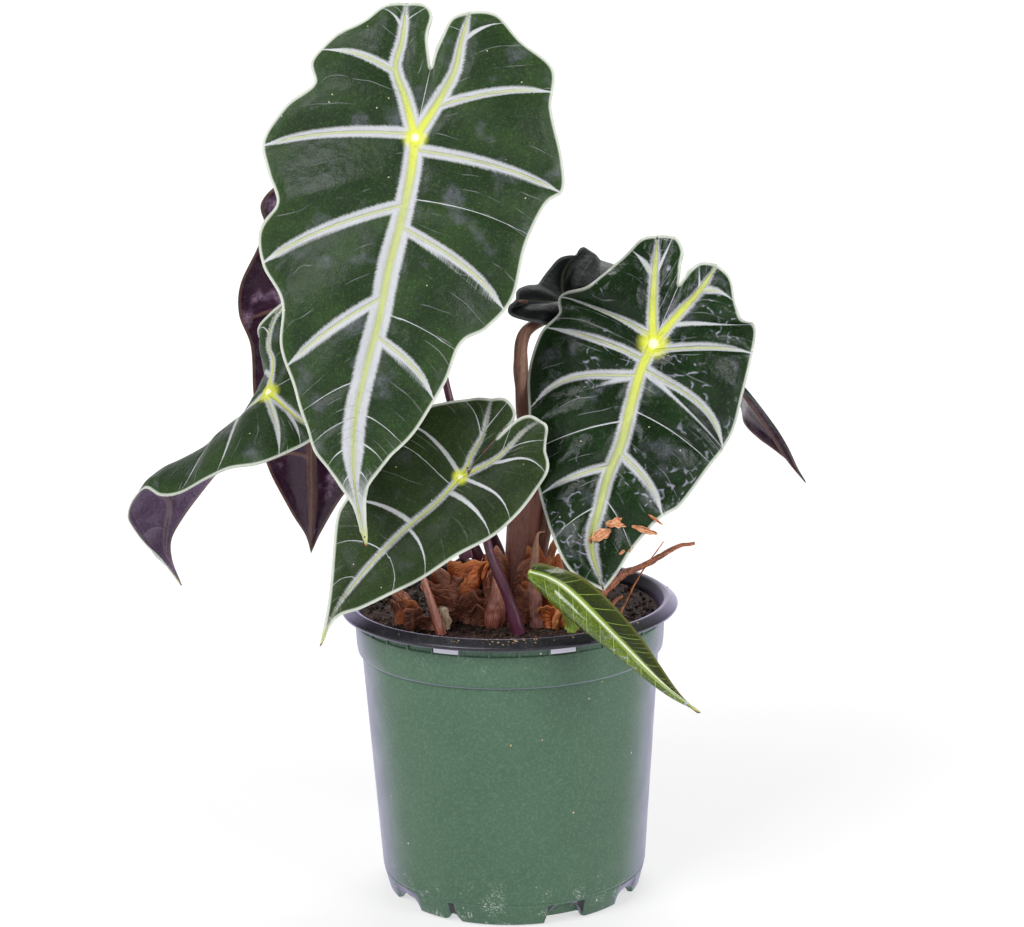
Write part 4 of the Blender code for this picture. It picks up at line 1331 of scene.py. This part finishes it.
def tube(name, points, radii, sides, squeeze=1.0, lumps=0.0, seed=0.0, close=0.6):
    """A tapered stem along a smooth curve, rounded over at its top, in mm."""
    path = dense(points)
    step = max(run(path)[-1] / 160, 0.35)
    count = max(24, int(run(path)[-1] / step))
    spots = run(np.array(points, float))
    shares = np.linspace(0, 1, count)
    path = at(path, shares)
    radius = np.interp(shares, spots / spots[-1], radii)
    kernel = np.ones(7) / 7
    radius = np.convolve(np.pad(radius, 3, mode="edge"), kernel, mode="valid")
    sides_at, others = frames(path)
    ahead = path[-1] - path[-2]
    ahead /= np.linalg.norm(ahead)
    rounding = np.linspace(0, math.pi / 2, 7)[1:]
    path = np.vstack(
        [path[:1], path] + [path[-1:] + ahead * radius[-1] * close * math.sin(a) for a in rounding]
    )
    radius = np.concatenate([[0.001], radius, radius[-1] * np.maximum(np.cos(rounding), 0.001)])
    sides_at = np.vstack([sides_at[:1], sides_at] + [sides_at[-1:]] * len(rounding))
    others = np.vstack([others[:1], others] + [others[-1:]] * len(rounding))
    turn = np.linspace(0, 2 * math.pi, sides + 1)
    cx = np.cos(turn)[None] * radius[:, None]
    cy = np.sin(turn)[None] * radius[:, None]
    if lumps:
        for i in range(len(path)):
            for j in range(sides + 1):
                a = turn[j % sides]
                swell = noise.noise((math.cos(a) * 1.5 + seed, math.sin(a) * 1.5, i * 0.12)) * lumps
                cx[i, j] *= 1 + swell
                cy[i, j] *= 1 + swell
    rows = path[:, None] + sides_at[:, None] * cx[..., None] + others[:, None] * cy[..., None] * squeeze
    along = np.broadcast_to(run(path)[:, None], cx.shape)
    fields = {"cx": cx + seed, "cy": cy, "along": along, "share": along / along.max()}
    return join([grid_piece(name, rows, fields)], name, weld=0.0005)


def paper(name, foot, facing, width, height, hollow, flare, seed, point=0.6, lean=0.0):
    """A thin dry scale standing on its foot: hollow towards the plant, torn along its top."""
    columns, rows = 15, 17
    u = np.linspace(-1, 1, columns)
    points = np.zeros((rows, columns, 3))
    for i, v in enumerate(np.linspace(0, 1, rows)):
        wide = width / 2 * (0.75 + 0.5 * v - 1.15 * point * v**2.2)
        for j, a in enumerate(u):
            tear = noise.noise((a * 1.6 + seed * 7, seed * 3.1, v)) * 0.2 * v
            turn = facing + a * wide / hollow
            out = hollow + flare * v**2 + noise.noise((a * 1.3 + seed, v * 1.6, seed)) * 1.5
            radial = np.array([math.cos(turn), math.sin(turn), 0])
            centre = np.array([math.cos(facing), math.sin(facing), 0]) * hollow
            rise = height * (v * (1 - 0.18 * a * a) + tear)
            sideways = np.array([-math.sin(facing), math.cos(facing), 0]) * lean * rise
            points[i, j] = np.array(foot) + radial * out - centre + (0, 0, rise) + sideways
    across = np.broadcast_to(u[None] * width / 2, (rows, columns))
    along = np.broadcast_to(np.linspace(0, height, rows)[:, None], (rows, columns))
    fields = {"cx": across + seed * 9, "cy": across * 0, "along": along, "share": along / height}
    piece = grid_piece(name, points, fields)
    apply_modifier(piece, "SUBSURF", levels=1, render_levels=1)
    apply_modifier(piece, "SOLIDIFY", thickness=0.3 * MM, offset=0.0)
    return piece


class ALOCASIA_OT_stalks(bpy.types.Operator):
    """Models the leaf stalks and the other stems that stand on the soil"""

    bl_idname = "alocasia.stalks"
    bl_label = "Stalks and stems"

    def execute(self, context):
        s = context.scene.alocasia_stalk
        skins = {
            "petiole": stalk_skin("Purple stalk skin", rgb("#4c1f33"), s.purple, 0.36),
            "petiole_tan": stalk_skin("Orange-brown stalk skin", rgb("#6d4638"), s.tan, 0.45, dark=0.3),
            "petiole_green": stalk_skin("Green stalk skin", s.green, rgb("#b9c86a"), 0.35, dark=0.1),
            "sheath": stalk_skin("Dry purple-brown sheath", rgb("#6e4148"), rgb("#a67c5c"), 0.5, dark=0.3),
            "dry_stem": dry_paper("Dried stem", rgb("#7c4432"), rgb("#c07f60"), 0.55),
            "pale_bark": dry_paper("Pale dry chip", rgb("#a2836a"), rgb("#e0cbb2"), 0.8),
            "papery_scale": dry_paper("Orange papery scale", rgb("#a4552c"), rgb("#dc935c"), 0.5),
        }
        skins["pink_stem"] = skins["offset_bulb"] = stalk_skin(
            "Pinkish bulb skin", rgb("#8c463a"), rgb("#cf9480"), 0.4, 0.5, dark=0.35
        )
        for number, (name, (points, radii, slot)) in enumerate(STEMS.items()):
            leafy = name.endswith("petiole") or name in skins
            piece = tube(
                name + "_skin", points, radii, s.sides, 1.0 if leafy else 0.8, 0.10 if leafy else 0.35,
                number * 3.7
            )
            piece.data.materials.append(skins[name] if name in skins else skins[slot])
            settle(piece, [name], 60)
        return {"FINISHED"}


class ALOCASIA_OT_rhizome(bpy.types.Operator):
    """Models the ringed rhizome with its torn papery scales and the sheath behind it"""

    bl_idname = "alocasia.rhizome"
    bl_label = "Rhizome and scales"

    def execute(self, context):
        s = context.scene.alocasia_stalk
        deselect()
        bpy.ops.mesh.primitive_uv_sphere_add(segments=112, ring_count=80, radius=1)
        body = named(bpy.context.object, "rhizome_body")
        points = points_of(body)
        for i, (x, y, z) in enumerate(points):
            wander = noise.noise((x * 2, y * 2, z * 2))
            ridge = 1 + 0.05 * math.sin(9 * x) + 0.03 * math.sin(26 * z + 3 * wander)
            ridge += 0.07 * noise.noise((x * 3, y * 3, z * 3)) + 0.03 * noise.noise((x * 11, y * 11, z * 5))
            height = max(140.3 + 13.4 * z * ridge + 3 * x, SOIL_TOP)
            points[i] = (-22.5 + 13.3 * x, -10.5 + 8.0 * y * ridge, height)
        body.data.vertices.foreach_set("co", (points * MM).reshape(-1))
        for key, values in (("cx", points[:, 0]), ("cy", points[:, 1]), ("along", points[:, 2])):
            body.data.attributes.new(key, "FLOAT", "POINT").data.foreach_set("value", values)
        brown = dry_paper("Fibrous brown bark", rgb("#35201a"), s.bark, 0.7, 0.3, 0.9)
        body.data.materials.append(brown)
        settle(body, ["rhizome"], 70)

        tan = dry_paper("Brown papery scale", rgb("#6f3c2e"), rgb("#bd8066"), 0.40, 0.15, 1.0)
        rust = dry_paper("Rust papery scale", rgb("#a2401e"), rgb("#e08a52"), 0.40, 0.15, 1.0)
        rng = np.random.default_rng(11)
        made = {"tan": [], "rust": []}
        for k in range(46):
            turn = math.radians(-90 + rng.uniform(-115, 115))
            z = rng.uniform(SOIL_TOP + 1, 147)
            inward = math.sqrt(max(0.05, 1 - ((z - 140.3) / 14.5) ** 2))
            foot = (-22.5 + 13.6 * inward * math.cos(turn), -10.5 + 8.4 * inward * math.sin(turn), z - 3)
            piece = paper(
                f"scale_{k}", foot, turn, rng.uniform(9, 18), rng.uniform(7, 17), rng.uniform(6, 11),
                rng.uniform(-0.5, 3.0), k * 1.7, rng.uniform(0.3, 0.75), rng.uniform(-0.4, 0.4),
            )
            made["rust" if k % 3 == 0 else "tan"].append(piece)
        for k, (x, y, z, facing, width, height, flare, kind) in enumerate(SCALES):
            piece = paper(
                f"extra_{k}", (x, y, z), math.radians(facing), width, height, 6.5, flare, 50 + k * 2.3,
                0.55, 0.1 * (-1) ** k
            )
            made[kind].append(piece)
        for kind, material in (("tan", tan), ("rust", rust)):
            sheets = join(made[kind], f"{kind}_papery_scales", weld=0)
            sheets.data.materials.append(material)
            settle(sheets, angle=60)

        # the broad sheath that wraps the back of the stalks
        path = dense([(5, -8, 127), (6.5, -8, 150), (8, -7, 175), (10, -5, 203)])
        path = at(path, np.linspace(0, 1, 60))
        turn = np.radians(np.linspace(-215, 30, 40))
        reach = np.interp(np.linspace(0, 1, 60), [0, 0.3, 0.75, 1], [8.6, 8.2, 7.6, 4.6])
        wide, deep = (wave(turn)[None] * reach[:, None] for wave in (np.cos, np.sin))
        rows = path[:, None] + np.stack([wide, deep * 0.7, np.zeros((60, 40))], axis=-1)
        along = rows[..., 2] - 127
        fields = {"cx": rows[..., 0], "cy": rows[..., 1], "along": along, "share": along / 76}
        sheath = grid_piece("stalk_sheath", rows, fields)
        apply_modifier(sheath, "SOLIDIFY", thickness=0.5 * MM, offset=0.0)
        sheath.data.materials.append(
            stalk_skin("Reddish sheath skin", rgb("#80493f"), rgb("#b98270"), 0.42, 0.3, dark=0.2)
        )
        settle(sheath, angle=60)
        return {"FINISHED"}


# more scales: foot in mm, facing in degrees, width, height, flare and which paper
SCALES = (
    (-46, -22, 126, -110, 12, 14, 2, "rust"),
    (-42, -26, 126, -80, 10, 11, 3, "tan"),
    (-50, -18, 126, -130, 9, 12, 2, "tan"),
    (-36, -28, 126, -90, 9, 8, 2, "tan"),
    (-14, -22, 126, -100, 9, 10, 3, "tan"),
    (-1, -19, 126, -80, 10, 12, 2, "rust"),
    (2, -21, 126, -80, 9, 12, 1, "tan"),
    (17, -27, 126, -80, 9, 11, 3, "rust"),
    (23, -27, 126, -70, 12, 15, 3, "rust"),
    (29, -26, 126, -60, 9, 10, 2, "tan"),
    (19, -18, 128, -85, 9, 30, 2, "rust"),
    (15, -16, 128, -95, 12, 34, 1, "rust"),
    (5, -20, 126, -90, 10, 18, 2, "tan"),
    (-9, -14, 130, -90, 14, 19, 1, "tan"),
    (-18, -20, 126, -95, 12, 16, 3, "tan"),
    (-3, -15, 138, -90, 13, 22, 1, "tan"),
    (6, -18, 132, -88, 12, 24, 2, "tan"),
    (10, -19, 128, -95, 10, 18, 2, "rust"),
)


# ---------------------------------------------------------------- young leaf

OPEN_ROWS, ROLL_ROWS, NEW_VEINS = 22, 40, 12
NEW_FOLD = [(9, -60, 160), (17, -68, 159), (25, -75, 155), (43, -87, 139), (62, -94, 121), (78, -95, 108)]
NEW_EDGE = [(10, -58, 163), (16, -63, 164), (33, -69, 158), (52, -77, 139), (69, -91, 116), (78, -95, 108)]
NEW_ROLL = [(10, -60, 156), (16, -68, 151), (30, -81, 141), (43, -88, 132), (64, -94, 116), (78, -95, 108)]


class ALOCASIA_OT_young_leaf(bpy.types.Operator):
    """Models the young leaf, one half open and the other still rolled lengthwise"""

    bl_idname = "alocasia.young_leaf"
    bl_label = "Young leaf"

    def execute(self, context):
        stations = 150
        shares = np.linspace(0, 1, stations)
        fold, edge, roll = (at(dense(points), shares) for points in (NEW_FOLD, NEW_EDGE, NEW_ROLL))
        middle, down = (fold + roll) / 2, roll - fold
        radius = np.maximum(np.linalg.norm(down, axis=1) / 2, 0.01)[:, None]
        front = np.cross(down, (fold[-1] - fold[0])[None])
        front *= radius / np.maximum(np.linalg.norm(front, axis=1)[:, None], 1e-9)
        open_part = np.linspace(0, 1, OPEN_ROWS)[:, None, None]
        flat = edge[None] * (1 - open_part) + fold[None] * open_part
        bulge = np.cross(fold - edge, np.gradient(fold, axis=0))
        bulge /= np.maximum(np.linalg.norm(bulge, axis=1)[:, None], 1e-9)
        flat = flat - bulge[None] * np.sin(np.pi * open_part) * 0.9
        angle = np.radians(np.linspace(12, 265, ROLL_ROWS))[:, None, None]
        curl = middle[None] - down[None] / 2 * np.cos(angle) + front[None] * np.sin(angle)
        points = np.concatenate([flat, curl])
        rib_mm = nearest(points.reshape(-1, 3), fold).reshape(points.shape[:2])
        edge_mm = nearest(points.reshape(-1, 3), edge).reshape(points.shape[:2])
        phase = shares[None] * NEW_VEINS - 0.11 * rib_mm
        gap = np.full(points.shape[:2], run(fold)[-1] / NEW_VEINS)
        in_roll = (np.arange(points.shape[0]) > OPEN_ROWS + 1)[:, None]
        fields = {
            "phase": phase,
            "gap": gap,
            "half": np.full_like(phase, 0.9),
            "along": rib_mm,
            "rib_mm": rib_mm,
            "rib": rib_mm / np.where(in_roll, 1.3, 2.4),
            "edge": edge_mm,
            "hub": np.full_like(phase, 60.0),
            "tip": np.full_like(phase, 99.0),
            "rolled": np.broadcast_to(in_roll, phase.shape) * 1.0,
        }
        piece = join([grid_piece("new_leaf_blade", points, fields, turned=True)], "new_leaf_blade")
        young = (
            rgb("#242b08"), rgb("#3b4a0e"), rgb("#86a040"), rgb("#eef3d6"), rgb("#dfe63c"), rgb("#5a5a26")
        )
        tender = (
            rgb("#465a0c"), rgb("#7f982a"), rgb("#8c9f50"), rgb("#eef3d4"), rgb("#dfe63c"), rgb("#c9b860")
        )
        piece.data.materials.append(leaf_face("Young leaf, olive", young, 0.3, 0.3, 0.8, 0.4))
        piece.data.materials.append(
            leaf_face(
                "Young leaf underside, glossy", tender, 0.2, 0.8, 0.8, 0.8, swell=3.0, under=True, curls=0.9
            )
        )
        rolled = field(piece, "rolled")
        for polygon in piece.data.polygons:
            polygon.material_index = int(min(rolled[i] for i in polygon.vertices) > 0.5)
        apply_modifier(piece, "SOLIDIFY", thickness=0.5 * MM, offset=0.0)
        settle(piece, ["new_leaf"], 70)
        return {"FINISHED"}


# torn flakes on the right leaf and crumbs on the rim: middle, size along and across, turn
FLAKES = (
    ((47.0, -30.0, 173.0), 12.0, 4.6, -4),
    ((57.5, -29.0, 172.5), 13.0, 2.6, 22),
    ((43.0, -32.0, 167.5), 9.5, 5.0, -30),
    ((34.5, -33.0, 167.0), 2.8, 2.4, 20),
    ((53.0, -32.0, 162.5), 5.5, 2.0, 50),
    ((63.0, -28.0, 176.0), 8.0, 1.0, 38),
    ((45.0, -32.5, 162.0), 3.0, 1.4, -20),
)


class ALOCASIA_OT_debris(bpy.types.Operator):
    """Models the torn papery flakes on the right leaf and the crumbs on the rim"""

    bl_idname = "alocasia.debris"
    bl_label = "Flakes and crumbs"

    def execute(self, context):
        blade = bpy.data.objects["right_leaf_blade"]
        flakes = []
        for k, (middle, length, width, turn) in enumerate(FLAKES):
            _, place, normal, _ = blade.closest_point_on_mesh(Vector(middle) * MM)
            if normal.y > 0:
                normal = -normal
            across = normal.cross(Vector((0, 0, 1))).normalized()
            up = across.cross(normal)
            if up.z < 0:
                up, across = -up, -across
            angle = math.radians(turn)
            along = across * math.cos(angle) + up * math.sin(angle)
            aside = normal.cross(along)
            rows = np.zeros((9, 21, 3))
            for i, v in enumerate(np.linspace(-1, 1, 9)):
                for j, u in enumerate(np.linspace(-1, 1, 21)):
                    ragged = 1 + 0.5 * noise.noise((u * 3 + k * 5, v * 0.5, k))
                    wide = width / 2 * (1 - 0.7 * abs(u) ** 2.5) * ragged
                    lift = 0.9 + 0.6 * noise.noise((u * 2, v * 2, k * 3)) + 0.5 * v * v
                    spot = place / MM + along * u * length / 2 + aside * v * wide + normal * lift
                    rows[i, j] = spot
            u_mm = np.broadcast_to(np.linspace(0, length, 21)[None], (9, 21))
            v_mm = np.broadcast_to(np.linspace(0, width, 9)[:, None], (9, 21))
            fields = {"cx": v_mm + k * 3, "cy": v_mm * 0, "along": u_mm, "share": v_mm * 0}
            flakes.append(grid_piece("flake", rows, fields))
        scraps = join(flakes, "leaf_flakes", weld=0)
        apply_modifier(scraps, "SOLIDIFY", thickness=0.25 * MM, offset=0.0)
        scraps.data.materials.append(
            dry_paper("Torn rust-brown flake", rgb("#a8562e"), rgb("#e8b184"), 0.4)
        )
        settle(scraps, angle=60)

        rng = np.random.default_rng(21)
        deselect()
        bpy.ops.mesh.primitive_ico_sphere_add(subdivisions=1, radius=1)
        first = bpy.context.object
        shape = points_of(first)
        crumbs = copies(first, RIM_CRUMBS)
        for k, crumb in enumerate(crumbs):
            angle = math.radians(rng.normal(-90, 9 if k % 3 else 60))
            far = rng.uniform(70.6, 74.6)
            size = rng.uniform(0.18, 0.6)
            height = TOP - 0.1 - max(0.0, far - 71.6) * 0.62 + size * 0.3
            place = (far * math.cos(angle), far * math.sin(angle), min(height, TOP - size * 0.9))
            rough = shape * rng.uniform(0.6, 1.3, (len(shape), 1)) * size * (1, 1, 0.6)
            crumb.data.vertices.foreach_set("co", ((rough + place) * MM).reshape(-1))
        loose = join(crumbs, "rim_crumbs", weld=0)
        sand, _, _ = new_material("Dry crumbs of mix", Roughness=0.9, Base_Color=(0.38, 0.24, 0.14, 1.0))
        loose.data.materials.append(sand)
        settle(loose, angle=30)
        return {"FINISHED"}


# ---------------------------------------------------------------- stage


# metres, and degrees
CAMERA_PLACE, CAMERA_TILT, CAMERA_ROLL = (0.0023, -0.9798, 0.3948), 78.46, -1.07
SENSOR_WIDTH = 36


class ALOCASIA_OT_stage(bpy.types.Operator):
    """Adds the pale floor, the soft studio light and the camera"""

    bl_idname = "alocasia.stage"
    bl_label = "Stage"

    def execute(self, context):
        s = context.scene.alocasia_stage
        deselect()
        bpy.ops.mesh.primitive_plane_add(size=60, location=(0, 20, -0.0005))
        floor = bpy.context.object
        bpy.ops.object.transform_apply(location=True)
        bpy.ops.object.mode_set(mode="EDIT")
        bpy.ops.mesh.select_all(action="DESELECT")
        bpy.ops.object.mode_set(mode="OBJECT")
        for edge in floor.data.edges:
            edge.select = all(floor.data.vertices[i].co.y > 40 for i in edge.vertices)
        bpy.ops.object.mode_set(mode="EDIT")
        bpy.ops.mesh.select_mode(type="EDGE")
        bpy.ops.mesh.extrude_region_move(TRANSFORM_OT_translate={"value": (0, 0, 30)})
        bpy.ops.mesh.select_all(action="SELECT")
        bpy.ops.mesh.normals_make_consistent(inside=False)
        bpy.ops.object.mode_set(mode="OBJECT")
        floor.name = "studio_floor"
        paint, node, link = new_material(
            "Matt white studio floor",
            Roughness=0.9,
            Base_Color=tinted(s.floor, 0.32),
            Emission_Color=tinted(s.floor),
        )
        # the floor is lit from behind, as on a light table, less so around the pot
        link(node("line", node("length", node("place")), 0.2, 1.6, 0.68, 1.05), "Emission Strength")
        floor.data.materials.append(paint)
        for name, place, power, size in (
            ("key", (-0.9, -1.0, 1.4), s.light, 0.9),
            ("fill", (1.2, -1.0, 0.8), s.light * 0.5, 0.7),
            ("back", (0.2, 1.0, 1.3), s.light * 0.6, 1.0),
        ):
            bpy.ops.object.light_add(type="AREA", location=place)
            lamp = bpy.context.object
            lamp.name = name
            lamp.data.energy = power
            lamp.data.size = size
            lamp.rotation_euler = (Vector((0, 0, 0.2)) - Vector(place)).to_track_quat("-Z", "Y").to_euler()
        world = bpy.data.worlds.new("Soft white studio")
        world.use_nodes = True
        world.node_tree.nodes["Background"].inputs["Color"].default_value = (1.0, 1.0, 1.0, 1.0)
        world.node_tree.nodes["Background"].inputs["Strength"].default_value = 0.30
        context.scene.world = world
        context.scene.view_settings.view_transform = "Standard"
        bpy.ops.object.camera_add()
        camera = bpy.context.object
        camera.data.lens = s.lens
        camera.data.sensor_width = SENSOR_WIDTH
        tilt = Matrix.Rotation(math.radians(CAMERA_TILT), 4, "X")
        roll = Matrix.Rotation(math.radians(CAMERA_ROLL), 4, "Z")
        camera.matrix_world = Matrix.Translation(CAMERA_PLACE) @ (tilt @ roll)
        context.scene.camera = camera
        return {"FINISHED"}


class ALOCASIA_PT_panel(bpy.types.Panel):
    """Lists the pieces in the 3D view's sidebar"""

    bl_idname = "ALOCASIA_PT_panel"
    bl_label = "Potted alocasia"
    bl_space_type = "VIEW_3D"
    bl_region_type = "UI"
    bl_category = "Alocasia"

    def draw(self, context):
        for operator in OPERATORS:
            self.layout.operator(operator.bl_idname)


OPERATORS = (
    ALOCASIA_OT_pot,
    ALOCASIA_OT_soil,
    ALOCASIA_OT_leaves,
    ALOCASIA_OT_young_leaf,
    ALOCASIA_OT_stalks,
    ALOCASIA_OT_rhizome,
    ALOCASIA_OT_debris,
    ALOCASIA_OT_stage,
)
GROUPS = {
    "alocasia_leaf": AlocasiaLeafSettings,
    "alocasia_pot": AlocasiaPotSettings,
    "alocasia_stalk": AlocasiaStalkSettings,
    "alocasia_stage": AlocasiaStageSettings,
}


def register():
    for group in GROUPS.values():
        bpy.utils.register_class(group)
    for cls in (*OPERATORS, ALOCASIA_PT_panel):
        bpy.utils.register_class(cls)
    for name, group in GROUPS.items():
        setattr(bpy.types.Scene, name, PointerProperty(type=group))


def unregister():
    for name in GROUPS:
        delattr(bpy.types.Scene, name)
    for cls in (ALOCASIA_PT_panel, *reversed(OPERATORS), *GROUPS.values()):
        bpy.utils.unregister_class(cls)


def main():
    register()
    bpy.ops.alocasia.pot()
    bpy.ops.alocasia.soil()
    bpy.ops.alocasia.leaves()
    bpy.ops.alocasia.young_leaf()
    bpy.ops.alocasia.stalks()
    bpy.ops.alocasia.rhizome()
    bpy.ops.alocasia.debris()
    bpy.ops.alocasia.stage()


if __name__ == "__main__":
    main()
